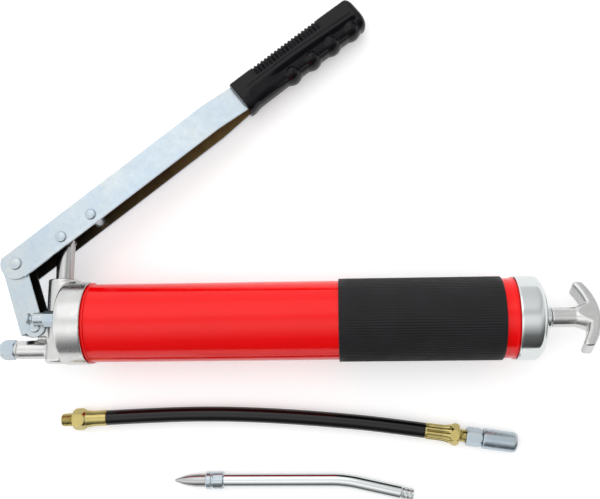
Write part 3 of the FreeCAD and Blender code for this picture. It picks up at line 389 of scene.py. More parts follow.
# ---------------- lines and turned shapes
def circle(count):
    """So many angles evenly round a circle."""
    return np.linspace(0, 2 * math.pi, count, endpoint=False)


def smooth_step(value):
    """3 v^2 - 2 v^3, with v held between 0 and 1."""
    value = np.clip(value, 0, 1)
    return value * value * (3 - 2 * value)


def signed_power(value, power):
    """Power of the value's size, with the value's sign."""
    return np.sign(value) * np.abs(value) ** power


def raised_cosine(angle, power):
    """Ridges between 0 and 1: half of one plus the cosine, to a power that narrows them."""
    return (0.5 + 0.5 * np.cos(angle)) ** power


def faded(along, start, end, reach):
    """1 between two ends, falling to 0 at each of them over the reach."""
    return np.clip(np.minimum(along - start, end - along) / reach, 0, 1)


def running_length(line):
    """Length along a line of points up to each of them."""
    return np.append(0, np.cumsum(np.linalg.norm(np.diff(line, axis=0), axis=1)))


def points_at(line, run, at):
    """Points on a line at given lengths along it."""
    return np.stack([np.interp(at, run, line[:, side]) for side in range(line.shape[1])], 1)


def softened(corners, radius, closed=False, steps=5):
    """Outline whose corners are quadratic curves, (1 - s)^2 start + 2 s (1 - s) corner + s^2 end.

    Each corner is cut back on both sides by the radius, at most 0.45 of the shorter side.
    """
    here = np.asarray(corners, float)
    radius = np.broadcast_to(np.asarray(radius, float), len(here)).copy()
    if not closed:
        radius[[0, -1]] = 0.0
    back, ahead = np.roll(here, 1, 0) - here, np.roll(here, -1, 0) - here
    back_long = np.maximum(np.linalg.norm(back, axis=1), 1e-9)
    ahead_long = np.maximum(np.linalg.norm(ahead, axis=1), 1e-9)
    cut = np.minimum(radius, 0.45 * np.minimum(back_long, ahead_long))
    start = (here + back * (cut / back_long)[:, None])[:, None]
    end = (here + ahead * (cut / ahead_long)[:, None])[:, None]
    share = np.linspace(0, 1, steps)[None, :, None]
    curve = (1 - share) ** 2 * start + 2 * share * (1 - share) * here[:, None] + share**2 * end
    curve = curve.reshape(-1, here.shape[1])
    keep = np.append(True, np.linalg.norm(np.diff(curve, axis=0), axis=1) > 1e-6)
    return curve[keep]


def dense(outline, step):
    """The same outline with extra points, so that no two are further apart than the step."""
    outline = np.asarray(outline, float)
    run = running_length(outline)
    return points_at(outline, run, np.unique(np.concatenate([run, np.arange(0, run[-1], step)])))


def hexagon_radius(turn, flats):
    """Radius of a hexagon with flats up and down.

    That is half the width across flats over the cosine of the angle from the nearest flat's middle.
    """
    away = (turn - math.pi / 2 + math.pi / 6) % (math.pi / 3) - math.pi / 6
    return flats / 2 / np.cos(away)


def turned(outline, flats=0.0, relief=None, columns=72, at=(0.0, 0.0), closed=False):
    """Grid of a shape turned about x: (x, r cos v, r sin v), with r the outline's radius.

    r is cut down to a hexagon where flats are given, and relief(x, r, v) may change it.
    """
    outline = np.asarray(outline, float)
    turn = circle(columns)[None, :]
    along = outline[:, :1] + 0 * turn
    radius = outline[:, 1:] + 0 * turn
    if flats:
        radius = np.minimum(radius, hexagon_radius(turn, flats))
    if relief:
        radius = relief(along, radius, turn)
    points = np.stack([along, at[0] + radius * np.cos(turn), at[1] + radius * np.sin(turn)], -1)
    return points, closed, True


def lathe(corners, radius, step, steps=5, shift=0.0, **options):
    """Turned shape of a softened outline with extra points, shifted along x.

    An outline that starts off the axis is the closed section of a hollow piece's wall.
    """
    closed = corners[0][1] > 0
    outline = softened(np.asarray(corners, float) + (shift, 0.0), radius, closed, steps)
    if closed:
        outline = dense(np.vstack([outline, outline[:1]]), step)[:-1]
    else:
        outline = dense(outline, step)
    return turned(outline, closed=closed, **options)


def thread(start, end, pitch, depth):
    """Relief of a screw thread: a triangle wave of x / pitch less the turn, fading at both ends."""
    def relief(along, radius, turn):
        phase = (along / pitch - turn / (2 * math.pi)) % 1.0
        wave = 1 - np.abs(2 * phase - 1)
        return radius - depth * wave * faded(along, start, end, 0.6 * pitch)
    return relief


def flutes(start, end, count, depth):
    """Relief of lengthwise grooves: depth times a raised cosine of the turn, fading at the ends."""
    def relief(along, radius, turn):
        return radius - depth * raised_cosine(count * turn, 3) * faded(along, start, end, 1.2)
    return relief


# ---------------- settings
class GunSizes(bpy.types.PropertyGroup):
    """Counts and sizes of the surface detail, the sizes in metres."""

    sleeve_ribs: bpy.props.IntProperty(
        name="Sleeve ribs", description="Lengthwise ribs round the sleeve",
        default=96, min=12, max=160)
    sleeve_rib_depth: bpy.props.FloatProperty(
        name="Sleeve rib depth", description="Depth of the sleeve's ribs",
        default=0.00028, min=0.0, max=0.0006, precision=5, unit="LENGTH")
    grip_ribs: bpy.props.IntProperty(
        name="Grip ribs", description="Ribs across the grip's upper side",
        default=19, min=0, max=30)
    thread_pitch: bpy.props.FloatProperty(
        name="Thread pitch", description="Pitch of the threads",
        default=0.00094, min=0.0005, max=0.002, precision=5, unit="LENGTH")
    hose_weave: bpy.props.FloatProperty(
        name="Hose weave", description="Pitch of the fine weave under the cover",
        default=0.0016, min=0.0005, max=0.006, precision=5, unit="LENGTH")


class GunColors(bpy.types.PropertyGroup):
    """Colours of the barrel's enamel and the floor."""

    enamel: bpy.props.FloatVectorProperty(
        name="Enamel", description="Colour of the barrel's enamel",
        subtype="COLOR", size=3, min=0, max=1, default=(0.93, 0.001, 0.002))
    floor: bpy.props.FloatVectorProperty(
        name="Floor", description="Colour of the floor",
        subtype="COLOR", size=3, min=0, max=1, default=(0.9, 0.9, 0.9))


# ---------------- hose
# Route of the hose over the table, in millimetres, from the inlet ferrule to the coupler's.
HOSE_ROUTE = (
    (27.8, -70.2), (66.0, -68.4), (111.0, -67.7), (157.0, -69.6), (202.0, -73.2), (235.0, -76.7),
    (264.2, -80.8),
)
HOSE_RADIUS, WEAVE_DEPTH = 5.6, 0.04
# Widths across flats of the hexagons on the hose's brass ends and on the coupler.
BRASS_FLATS, COUPLER_FLATS = 14.0, 12.0


def hose_line():
    """Points along the hose's NURBS line, whose control points are the route's, in metres."""
    shift = INLET[0] - np.array([HOSE_ROUTE[0][0] * MM, HOSE_ROUTE[0][1] * MM, 0.0])
    curve = bpy.data.curves.new("hose_route", "CURVE")
    curve.dimensions = "3D"
    spline = curve.splines.new("NURBS")
    spline.points.add(len(HOSE_ROUTE) - 1)
    route = np.array([(across * MM, up * MM, 0.0) for across, up in HOSE_ROUTE]) + shift
    spline.points.foreach_set("co", np.hstack([route, np.ones((len(route), 1))]).ravel())
    spline.order_u = 3
    spline.use_endpoint_u = True
    spline.resolution_u = 24
    holder = add_object("hose_route", curve)
    line = bpy.data.meshes.new_from_object(holder)
    points = read_vectors(line.vertices, "co")
    bpy.data.objects.remove(holder)
    bpy.data.meshes.remove(line)
    return points


def hose_tube(sizes, path_mm, length):
    """Round tube about a line, closed at both ends.

    Its radius is the hose's less two crossed helices of fine relief, the weave under its cover.
    """
    forward = np.gradient(path_mm, axis=0)
    forward /= np.linalg.norm(forward, axis=1)[:, None]
    across = np.cross(UP, forward)
    turn = circle(36)
    phase = 2 * math.pi * length[:, None] / (sizes.hose_weave / MM)
    weave = np.cos(phase + 2 * turn) * np.cos(phase - 2 * turn)
    radius = (HOSE_RADIUS - WEAVE_DEPTH * (1 - weave))[:, :, None]
    ring = radius * (np.cos(turn)[:, None] * across[:, None] + np.sin(turn)[:, None] * UP)
    ends = np.repeat(path_mm[[0, -1], None], len(turn), 1)
    return np.concatenate([ends[:1], path_mm[:, None] + ring, ends[1:]])


def inlet_pieces(pitch):
    """Ferrule and threaded fitting at the pump's end; the ferrule swells into the hexagon."""
    sleeve = lathe([(0, 4.2), (0, 5.9), (9.5, 5.75), (15.3, 6.5), (15.3, 4.2)],
                   (0.3, 0.5, 4, 0.1, 0.1), 1.0)
    nut = lathe(
        [(15.3, 0), (15.3, 6.5), (17.6, 8.1), (23.6, 8.1), (25.3, 6.6), (25.3, 4.6), (25.9, 4.6),
         (26.3, 4.86), (33.2, 4.86), (34.2, 4.1), (34.2, 2.2), (20, 2.0), (20, 0)],
        (0, 0.1, 2.0, 1.2, 0.2, 0.1, 0.1, 0.1, 0.1, 0.1, 0.1, 0.1, 0), 0.13,
        flats=BRASS_FLATS, relief=thread(25.8, 34.0, pitch, 0.35), columns=96)
    return [new_piece("inlet_sleeve", [sleeve], INLET, "brass", "inlet_ferrule"),
            new_piece("inlet_nut", [nut], INLET, "brass", "inlet_fitting")]


def tip_pieces(pitch):
    """Fluted ferrule that swells into a hexagon, with a short thread that goes into the coupler."""
    sleeve = lathe([(0, 4.2), (0, 5.7), (0.8, 5.9), (14.0, 5.9), (18.7, 6.9), (18.7, 4.2)],
                   (0.2, 0.2, 0.3, 4, 0.1, 0.1), 0.5, columns=144,
                   relief=flutes(0.6, 18.6, 9, 0.9))
    nut = lathe(
        [(18.7, 0), (18.7, 6.9), (20.6, 8.1), (23.4, 8.1), (24.9, 6.7), (24.9, 4.7), (33.9, 4.7),
         (33.9, 2.0), (20, 2.0), (20, 0)],
        (0, 0.1, 1.5, 1.2, 0.2, 0.1, 0.1, 0.1, 0.1, 0), 0.15,
        flats=BRASS_FLATS, relief=thread(24.9, 33.9, pitch, 0.3), columns=96)
    return [new_piece("tip_sleeve", [sleeve], TIP, "brass", "tip_ferrule"),
            new_piece("tip_nut", [nut], TIP, "brass", "tip_fitting")]


def coupler_pieces():
    """Adapter hexagon and round body of the coupler, each hollow, and its spring.

    Its jaws and seal stay CAD's.
    """
    nut = lathe(
        [(0, 5.1), (0, 5.9), (1.0, 6.93), (10.2, 6.93), (12, 5.6), (12, 5.15), (18, 5.15), (18, 2),
         (8, 2), (8, 5.1)],
        0.2, 0.4, shift=29.9, flats=COUPLER_FLATS, columns=96)
    adapter = new_piece("coupler_nut", [nut], TIP, "zinc_plate", "coupler_adapter")
    start, end = 41.9, TIP_LONG
    barrel = lathe(
        [(start, 5.25), (start, 6.9), (start + 0.6, 7.4), (end - 1.9, 7.4), (end, 6.0),
         (end, 4.6), (end - 0.3, 4.3), (end - 1.6, 4.3), (end - 1.6, 5.25)],
        (0.1, 0.3, 0.4, 1.2, 0.7, 0.2, 0.2, 0.1, 0.1), 1.2)
    shell = new_piece("coupler_shell", [barrel], TIP, "zinc_plate", "coupler_body")
    dress("steel", "coupler_jaws")
    dress("seal_rubber", "coupler_seal")
    coil = spring("coupler_coil", "coupler_spring", "jaw_push")
    kept = [frame["nodes"][node] for node in ("coupler_jaws", "coupler_seal")]
    return [adapter, shell, coil] + kept


class GREASE_OT_hose(bpy.types.Operator):
    """Hose as a tube carried along its route, with its brass ends and the coupler"""

    bl_idname = "grease.hose"
    bl_label = "Hose"

    def execute(self, context):
        sizes = context.scene.gun_sizes
        line = hose_line()
        run = running_length(line)
        at = np.linspace(0, run[-1], 600)
        path = points_at(line, run, at)
        grid = hose_tube(sizes, (path - GUN[0]) / MM, at / MM)
        hose = new_piece("hose_tube", [(grid, False, True)], (GUN[0], np.eye(3)), "hose_rubber",
                         "hose")
        pitch = sizes.thread_pitch / MM
        ends = inlet_pieces(pitch) + tip_pieces(pitch) + coupler_pieces()
        return {"FINISHED"}


# ---------------- pipe
PIPE_RADIUS, PIPE_BORE, THREAD_RADIUS, THREAD_LONG = 5.2, 2.2, 4.86, 9.0
# Where the pipe leaves the nozzle, and the radius of its one bend.
PIPE_START, PIPE_BEND = 29.3, 90.0


def pressed(along, radius, turn):
    """Six shallow flats in the collar's back half: their radius is a distance over a cosine."""
    away = (turn + math.pi / 6) % (math.pi / 3) - math.pi / 6
    flat = 6.12 / np.maximum(np.cos(away), 0.8)
    here = smooth_step((along - 28.6) / 0.8) * smooth_step((36.2 - along) / 0.8)
    return np.where(radius > 5.5, radius + here * np.minimum(flat - radius, 0), radius)


def pipe_grid(pitch):
    """Tube about a line that turns evenly over its bend, by a radius across it and along z.

    The line is the running sum of its heading's cosines and sines.
    """
    end, way = into_local(PIPE, pipe_end), pipe_axis @ PIPE[1].T
    corner = end[0] - end[1] * way[0] / way[1]
    turn_all = math.atan2(way[1], way[0])
    setback = PIPE_BEND * math.tan(abs(turn_all) / 2)
    first = corner - setback - PIPE_START
    last = (end[0] - corner) / way[0] - setback
    total = first + PIPE_BEND * abs(turn_all) + last
    outline = dense([
        (0, 0), (0, PIPE_RADIUS), (total - THREAD_LONG - 0.5, PIPE_RADIUS),
        (total - THREAD_LONG, THREAD_RADIUS), (total - 0.8, THREAD_RADIUS), (total, 4.1),
        (total, PIPE_BORE), (total - 12, PIPE_BORE), (total - 12, 0)], 0.2)
    along, radius = outline[:, :1], outline[:, 1:]
    turn = circle(60)[None, :]
    groove = thread(total - THREAD_LONG, total - 0.2, pitch, 0.5)
    radius = groove(along + 0 * turn, radius + 0 * turn, turn)
    steps = np.linspace(0, total, 4000)
    heading = np.clip((steps - first) / PIPE_BEND, 0, abs(turn_all)) * math.copysign(1, turn_all)
    step = total / (len(steps) - 1)

    def summed(parts):
        return np.append(0, np.cumsum((parts[1:] + parts[:-1]) * step / 2))

    here = np.interp(along, steps, heading)
    side = radius * np.cos(turn)
    line_x, line_y = PIPE_START + summed(np.cos(heading)), summed(np.sin(heading))
    return np.stack([np.interp(along, steps, line_x) - side * np.sin(here),
                     np.interp(along, steps, line_y) + side * np.cos(here),
                     radius * np.sin(turn) + 0 * here], -1)


class GREASE_OT_pipe(bpy.types.Operator):
    """Rigid bent pipe with its nozzle and collar"""

    bl_idname = "grease.pipe"
    bl_label = "Pipe"

    def execute(self, context):
        nozzle = lathe(
            [(0, 0), (0, 0.7), (0.3, 0.95), (8.0, 3.85), (16.0, 4.88), (PIPE_START, 4.9),
             (PIPE_START, 0)],
            (0, 0.1, 0.2, 3.5, 2.5, 0.1, 0), 0.8)
        new_piece("nozzle", [nozzle], PIPE, "steel", "pipe_nozzle")
        collar = lathe(
            [(23.3, 4.91), (23.3, 5.6), (24.0, 6.3), (27.0, 6.35), (27.4, 5.9), (28.4, 5.9),
             (28.8, 6.35), (35.9, 6.35), (36.8, 5.6), (36.8, 5.21), (PIPE_START, 5.21),
             (PIPE_START, 4.91)],
            0.2, 0.5, columns=96, relief=pressed)
        new_piece("collar", [collar], PIPE, "zinc_plate", "pipe_collar")
        grid = pipe_grid(context.scene.gun_sizes.thread_pitch / MM)
        new_piece("pipe", [(grid, False, True)], PIPE, "chrome", "pipe_tube")
        return {"FINISHED"}


# ---------------- barrel
class GREASE_OT_barrel(bpy.types.Operator):
    """Red barrel and its ribbed rubber sleeve"""

    bl_idname = "grease.barrel"
    bl_label = "Barrel"

    def execute(self, context):
        sizes = context.scene.gun_sizes
        start, end = span("barrel_tube")
        # A low bead stands out beside the pump head and beside the cap.
        front, back = span("pump_head")[1], span("end_cap")[0]
        wall = lathe(
            [(start, 27.3), (end, 27.3), (end, 28.1), (back - 0.8, 28.1), (back - 0.9, 29.3),
             (back - 1.9, 29.3), (back - 2.1, 28.5), (front + 2.3, 28.5), (front + 2.1, 29.5),
             (front + 1.0, 29.5), (front + 0.9, 28.1), (start, 28.1)],
            0.25, 12, columns=192)
        new_piece("barrel", [wall], GUN, "red_enamel", "barrel_tube")
        start, end = span("barrel_sleeve")
        inner, middle, outer = 28.52, 29.0, 29.9
        count, depth = sizes.sleeve_ribs, sizes.sleeve_rib_depth / MM

        def ribs(along, radius, turn):
            """Outside radius less a raised cosine of the turn, fading over 2 mm at each end."""
            groove = depth * raised_cosine(count * turn, 1.5) * faded(along, start, end, 2.0)
            return np.where(radius > middle, radius - groove, radius)

        wall = lathe([(start, inner), (end, inner), (end, outer), (start, outer)], 0.7, 8,
                     columns=count * 8, relief=ribs)
        new_piece("sleeve", [wall], GUN, "ribbed_rubber", "barrel_sleeve")
        return {"FINISHED"}


class GREASE_OT_cap(bpy.types.Operator):
    """Chromed end cap and the rod's collar"""

    bl_idname = "grease.cap"
    bl_label = "End cap"

    def execute(self, context):
        start, end = span("end_cap")
        shell = lathe(
            [(start, 28.62), (end - 3.5, 28.62), (end - 3.5, 6.02), (end, 6.02), (end, 22.4),
             (end - 1.4, 26.4), (end - 5.0, 30.2), (start + 1.0, 30.2), (start, 29.9)],
            (0.3, 0.3, 0.3, 0.3, 3.0, 3.4, 4.5, 0.5, 0.3), 4, steps=9, columns=160)
        new_piece("cap", [shell], GUN, "chrome", "end_cap")
        start, end = span("rod_collar")
        ring = lathe(
            [(start, 4.06), (end, 4.06), (end, 7.9), (end - 0.8, 8.7), (start + 4.6, 8.7),
             (start + 3.5, 8.2), (start + 3.5, 6.0), (start, 6.0)],
            0.3, 2)
        new_piece("collar_ring", [ring], GUN, "chrome", "rod_collar")
        return {"FINISHED"}


# ---------------- pump head
class GREASE_OT_head(bpy.types.Operator):
    """Cast pump head with its outlet arm and link lug"""

    bl_idname = "grease.head"
    bl_label = "Pump head"

    def execute(self, context):
        cast(cad_copy("head_casting", "pump_head", "cast_aluminium", "gun_body"), 0.7, 5)
        dress("seal_rubber", "head_gasket", "plunger_seal")
        return {"FINISHED"}


# Widths across flats of the hexagons on the outlet valve and on the filler nipple.
VALVE_FLATS, NIPPLE_FLATS = 13.0, 10.0


class GREASE_OT_outlet(bpy.types.Operator):
    """Outlet valve: washer, hexagon body, ball and spring"""

    bl_idname = "grease.outlet"
    bl_label = "Outlet valve"

    def execute(self, context):
        low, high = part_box("outlet_washer")
        seat = into_local(GUN, (np.array(low) + np.array(high)) / 2)
        start = span("outlet_valve_body")[0]
        end = start + 11.4
        nut = lathe(
            [(start, 4.87), (start, 4.9), (start + 3.6, 7.55), (end - 0.6, 7.55), (end, 7.0),
             (end, 4.2), (end + 8, 4.2), (end + 8, 2.2), (start + 9, 2.2), (start + 9, 4.87)],
            (0.05, 0.2, 2.4, 0.4, 0.3, 0.2, 0.2, 0.2, 0.1, 0.1), 0.3, steps=9,
            flats=VALVE_FLATS, columns=120, at=(seat[1], seat[2]))
        new_piece("valve_nut", [nut], GUN, "zinc_plate", "outlet_valve_body")
        dress("washer", "outlet_washer")
        dress("steel", "outlet_ball")
        spring("outlet_coil", "outlet_spring", "outlet_ball_lift")
        return {"FINISHED"}


class GREASE_OT_filler(bpy.types.Operator):
    """Filler nipple with its waisted disc, ball and spring"""

    bl_idname = "grease.filler"
    bl_label = "Filler nipple"

    def execute(self, context):
        disc = into_local(GUN, MOUNTS["filler_disc"]["pos_m"])
        half_disc = 1.15
        body = lathe(
            [(0, 0), (0, 3.7), (0.5, 4.2), (1.6, 4.2), (2.3, 3.4), (2.6, 2.6), (4.0, 2.6),
             (5.0, 4.3), (5.6, 4.5), (12.0, 4.5), (12.3, 4.5), (12.9, 5.75), (20.6, 5.75),
             (21.3, 5.1), (21.3, 3.5), (26, 3.5), (26, 0)],
            0.25, 0.4, shift=disc[0] - half_disc, flats=NIPPLE_FLATS, columns=96,
            at=(disc[1], disc[2]))
        new_piece("nipple", [body], GUN, "zinc_plate", "filler_nipple")
        dress("steel", "filler_ball")
        spring("filler_coil", "filler_spring", "filler_ball_lift")
        return {"FINISHED"}


# ---------------- plunger, lever and link
# Half widths over the lever's and the link's walls, and the walls themselves.
LEVER_HALF, LINK_HALF, LEVER_WALL, LINK_WALL = 12.8, 10.5, 2.0, 1.6
# Radii of the pins, of their heads and of the fulcrum's head, and the height of a head.
PIN_RADIUS, HEAD_RADIUS, FULCRUM_RADIUS, HEAD_HIGH = 2.98, 4.1, 4.7, 1.5


class GREASE_OT_plunger(bpy.types.Operator):
    """Polished plunger with its flat eye"""

    bl_idname = "grease.plunger"
    bl_label = "Plunger"

    def execute(self, context):
        bevelled(cad_copy("pump_plunger", "plunger", "steel", "plunger_body"), 0.4)
        return {"FINISHED"}


def rivet_grid(radius, face, height):
    """Domed rivet head turned about z: (r cos v, r sin v, face + h), a low dome on a short edge."""
    outline = softened([(-0.6, 0), (-0.6, radius), (0.35 * height, radius),
                        (0.8 * height, 0.82 * radius), (height, 0.35 * radius), (height, 0)],
                       (0, 0.1, 0.3, 0.8, 1.2, 0))
    along, ring = outline[:, :1], outline[:, 1:]
    turn = circle(48)[None, :]
    sign = math.copysign(1, face)
    return np.stack([ring * np.cos(turn), ring * np.sin(turn), face + sign * along + 0 * turn], -1)


def rivet(name, place, at, radius, half, body, node):
    """Pin with a domed head on each face, at a spot in a frame whose z is the pin's axis."""
    spot = np.array([at[0], at[1], 0.0])
    heads = [(rivet_grid(radius, side * half, HEAD_HIGH) + spot, False, True) for side in (1, -1)]
    turn = circle(32)
    height = np.array([-half, -half, half, half])[:, None]
    ring = np.array([0.0, PIN_RADIUS, PIN_RADIUS, 0.0])[:, None]
    pin = np.stack([at[0] + ring * np.cos(turn), at[1] + ring * np.sin(turn),
                    height + 0 * turn], -1)
    new_piece(name, heads + [(pin, False, True)], place, "zinc_plate", node, body)


def paint_channel_shade(piece, place, half, wall, roof):
    """Gives the faces within a channel the material of its inside, whose colour is partly painted shade.

    half(spots) is half the width over the walls, and roof(spots, normals) is true below the roof.
    """
    mesh = piece.data
    mesh.materials.append(FINISHES["zinc_with_painted_shade"])
    spots = into_local(place, read_vectors(mesh.polygons, "center"))
    faces = read_vectors(mesh.polygons, "normal") @ place[1].T
    margin = 0.15
    inner = half(spots) - wall + margin
    within = (np.abs(spots[:, 2]) < inner) & roof(spots, faces)
    mesh.polygons.foreach_set("material_index", within.astype(np.int32))


class GREASE_OT_lever(bpy.types.Operator):
    """Lever channel, its rivets and its spacers"""

    bl_idname = "grease.lever"
    bl_label = "Lever"

    def execute(self, context):
        channel = cad_copy("lever_arm", "lever_channel", "zinc_plate", "lever_body")
        # The channel narrows towards the grip. Its inside, below the roof and above the edge, takes the painted
        # shade.
        narrows, tail_half, roof, edge = (141.0, 168.5), 7.5, 12.75, -7.1
        paint_channel_shade(
            channel, LEVER,
            lambda spots: np.interp(spots[:, 0], narrows, (LEVER_HALF, tail_half)), LEVER_WALL,
            lambda spots, faces: (spots[:, 1] < roof) & (faces[:, 1] < 0.5) & (spots[:, 1] > edge))
        bevelled(channel, 0.8)
        pins = (("fulcrum", (-38.0, 5.0), FULCRUM_RADIUS), ("plunger", (0.0, 0.0), HEAD_RADIUS),
                ("spacer", (27.0, 0.0), HEAD_RADIUS))
        for name, at, radius in pins:
            rivet(f"{name}_pin", LEVER, at, radius, LEVER_HALF, "lever_body", f"{name}_rivet")
        dress("zinc_plate", "spacer_tube")
        dress("steel", "pin_spacers")
        return {"FINISHED"}


class GREASE_OT_link(bpy.types.Operator):
    """Link channel and its foot pin"""

    bl_idname = "grease.link"
    bl_label = "Link"

    def execute(self, context):
        channel = cad_copy("link_arm", "link_channel", "zinc_plate", "link_body")
        # The link's inside, past its roof, takes the painted shade of a channel's inside.
        roof = -8.4
        paint_channel_shade(channel, LINK, lambda spots: np.full(len(spots), LINK_HALF), LINK_WALL,
                      lambda spots, faces: (spots[:, 0] > roof) & (faces[:, 0] > -0.5))
        bevelled(channel, 0.6)
        rivet("foot_pin", LINK, (0.0, 0.0), HEAD_RADIUS, LINK_HALF, "link_body", "link_pin")
        return {"FINISHED"}


# ---------------- grip
# In the lever's frame: x runs along the grip, y up to its ribs and z across it.
GRIP_START, GRIP_LONG, GRIP_HALF = 168.0, 115.0, 12.3
# Powers of the section's two superellipse halves: boxy above the ridge and rounder below it.
UP_POWER, LOW_POWER = 0.36, 0.8
# Middle of the first lobe, distance between lobes and half a lobe's length, width and height.
LOBE_FIRST, LOBE_PITCH, LOBE_REACH, LOBE_WIDE, LOBE_HIGH = 43.5, 18.95, 7.2, 10.6, 6.9
# Depth of the lobes' middles below the ridge, and how much higher each is than the one before.
LOBE_BELOW, LOBE_GROWTH = 5.4, 0.2
RIBS_FIRST, RIBS_LAST = 19.1, 83.8


def grip_columns(count):
    """Angles that space the grip's section evenly by the running length of its superellipses."""
    fine = np.linspace(0, 2 * math.pi, 6000)
    power = np.where(np.sin(fine) > 0, UP_POWER, LOW_POWER)
    across = GRIP_HALF * signed_power(np.cos(fine), power)
    up = np.where(np.sin(fine) > 0, 12.6, 17.0) * signed_power(np.sin(fine), power)
    run = np.append(0, np.cumsum(np.hypot(np.diff(across), np.diff(up))))
    return np.interp(np.linspace(0, run[-1], count, endpoint=False), run, fine)


def grip_stations():
    """Each section's distance from the mouth, and the share of its full size that it has.

    The far end turns in by a quarter of an ellipse, and closes as a low dome, a parabola.
    """
    corner = np.linspace(0, math.pi / 2, 15)
    left, lost = 0.55, 0.45
    inward = np.linspace(left, 0.02, 9)[1:]
    bend = GRIP_LONG - 6.5
    body = np.concatenate([np.linspace(0, 1.5, 5)[:-1], np.linspace(1.5, bend, 290)[:-1]])
    along = np.concatenate([body, bend + 5.0 * np.sin(corner),
                            GRIP_LONG - 1.5 + 1.4 * (1 - (inward / left) ** 2)])
    close = np.concatenate([1 + 0 * body, 1 - lost * (1 - np.cos(corner)), inward])
    return along[:, None], close[:, None]


def grip_heights(along):
    """Heights of the underside, the ridge and the top.

    The underside flares at the mouth, runs straight to the first lobe and then slopes out to the
    end. The top slopes in a little. The ridge bends down over the outer half, by log(1 + e^x).
    """
    flare = 1.3 * (1 - smooth_step((along - 3.0) / 8.0))
    sink = 0.65 * smooth_step((along - 40.0) / 8.0)
    low = -9.5 - flare - sink - 0.018 * np.maximum(along - 50.0, 0)
    bend, soft, slope = 52.0, 5.0, 0.063
    ridge = 3.85 - slope * soft * np.log1p(np.exp((along - bend) / soft))
    share = along / GRIP_LONG
    top = 16.8 - 0.4 * share - 1.3 * share**2
    return low, ridge, top


def grip_section(along, turn, low, ridge, top):
    """Width and height about the ridge: two superellipse halves that meet at it.

    Below the ridge the side falls back by a rounded shoulder; just above it runs a fine groove.
    """
    power = np.where(np.sin(turn) > 0, UP_POWER, LOW_POWER)
    wide = GRIP_HALF * signed_power(np.cos(turn), power)
    high = np.where(np.sin(turn) > 0, top - ridge, ridge - low) * signed_power(np.sin(turn), power)
    depth = np.clip(-high / (ridge - low), 0, 1)
    first, last = 5, 110
    lengthwise = smooth_step((along - first) / 9) * smooth_step((last - along) / 6)
    fall = 0.8 + 2.3 * smooth_step((along - 22.0) / 16.0)
    shoulder = fall * smooth_step((depth - 0.06) / 0.3) * (1 - smooth_step((depth - 0.75) / 0.25))
    groove = 0.45 * np.exp(-(((high - 1.2) / 0.5) ** 2)) * lengthwise
    return np.sign(wide) * np.maximum(np.abs(wide) - shoulder * lengthwise - groove, 0), high


def grip_lobes(along, turn, ridge, wide, high):
    """Section with four finger lobes below it, each an ellipsoid about the lever's plane.

    A ray from the ridge's middle leaves an ellipsoid at the larger root of a quadratic. A smooth
    maximum of that and the section's own radius joins the lobe to the underside.
    """
    nearest = np.clip(np.round((along - LOBE_FIRST) / LOBE_PITCH), 0, 3)
    away = (along - LOBE_FIRST - LOBE_PITCH * nearest) / LOBE_REACH
    thin = np.sqrt(np.clip(1 - away**2, 1e-6, 1))
    bearing, radius = np.arctan2(high, wide), np.hypot(wide, high)
    lobe_wide, lobe_high = LOBE_WIDE * thin, (LOBE_HIGH + LOBE_GROWTH * nearest) * thin
    offset = ridge + LOBE_BELOW
    square = (np.cos(bearing) / lobe_wide) ** 2 + (np.sin(bearing) / lobe_high) ** 2
    half_term = offset * np.sin(bearing) / lobe_high**2
    inside = half_term**2 - square * ((offset / lobe_high) ** 2 - 1)
    met = (inside > 0) & ~(np.sin(turn) > 0)
    lobe = np.where(met, (np.sqrt(np.maximum(inside, 0)) - half_term) / square, 0)
    join = 2.4
    overlap = np.maximum(join - np.abs(radius - lobe), 0) / join
    radius = np.maximum(radius, lobe) + 0.6 * overlap**2 * np.where(lobe > 0, 1, 0)
    return radius * np.cos(bearing), radius * np.sin(bearing)


def grip_ribs(along, height, count):
    """How far the ribs across the top and the upper part of both sides cut in, and how far down.

    The first is a raised cosine of the distance along the grip, between the ribs' two ends.
    """
    pitch = (RIBS_LAST - RIBS_FIRST) / (count + 1)
    within = smooth_step((along - RIBS_FIRST) / 1.5) * smooth_step((RIBS_LAST - along) / 1.5)
    rib = within * raised_cosine(2 * math.pi * (along - RIBS_FIRST) / pitch, 1.2)
    return rib, smooth_step((height + 9.5) / 1.4)


def closing(ring):
    """A ring drawn in to its middle, which closes a grid's end."""
    return ring.mean(1, keepdims=True) + 0 * ring


class GREASE_OT_grip(bpy.types.Operator):
    """Black moulded grip with ribs above and finger lobes below"""

    bl_idname = "grease.grip"
    bl_label = "Lever grip"

    def execute(self, context):
        along, close = grip_stations()
        turn = grip_columns(208)[None, :]
        low, ridge, top = grip_heights(along)
        wide, high = grip_section(along, turn, low, ridge, top)
        wide, high = grip_lobes(along, turn, ridge, wide, high)
        rib, reach = grip_ribs(along, high - (top - ridge), context.scene.gun_sizes.grip_ribs)
        shrink = close * (1 - 0.06 * rib * reach)
        shrink = shrink * (1 - 0.03 * np.clip((1.2 - along) / 1.2, 0, 1))
        middle = (top + low) / 2
        rise = middle + (ridge + high - middle) * shrink
        side = wide * shrink * (1 - 0.05 * rib * reach)
        outer = np.stack([GRIP_START + along + 0 * turn, rise, side], -1)
        # The mouth is a pocket that the lever fills, shallower where its flanges are cut back.
        flanges, roof, half, deep, shallow = 12.6, 102.1, 7.55, -7.25, -2.05
        across = np.clip(wide[:1], -half, half)
        mouth = np.concatenate([
            np.stack([GRIP_START + at + 0 * turn, np.clip(rise[:1], bottom, 14.65), across], -1)
            for at, bottom in ((roof, shallow), (flanges, shallow), (flanges, deep), (0.0, deep))])
        shell = np.concatenate([closing(mouth[:1]), mouth, outer, closing(outer[-1:])])
        new_piece("grip", [(shell, False, True)], LEVER, "grip_vinyl", "lever_grip", "lever_body",
                  sharp=50)
        return {"FINISHED"}


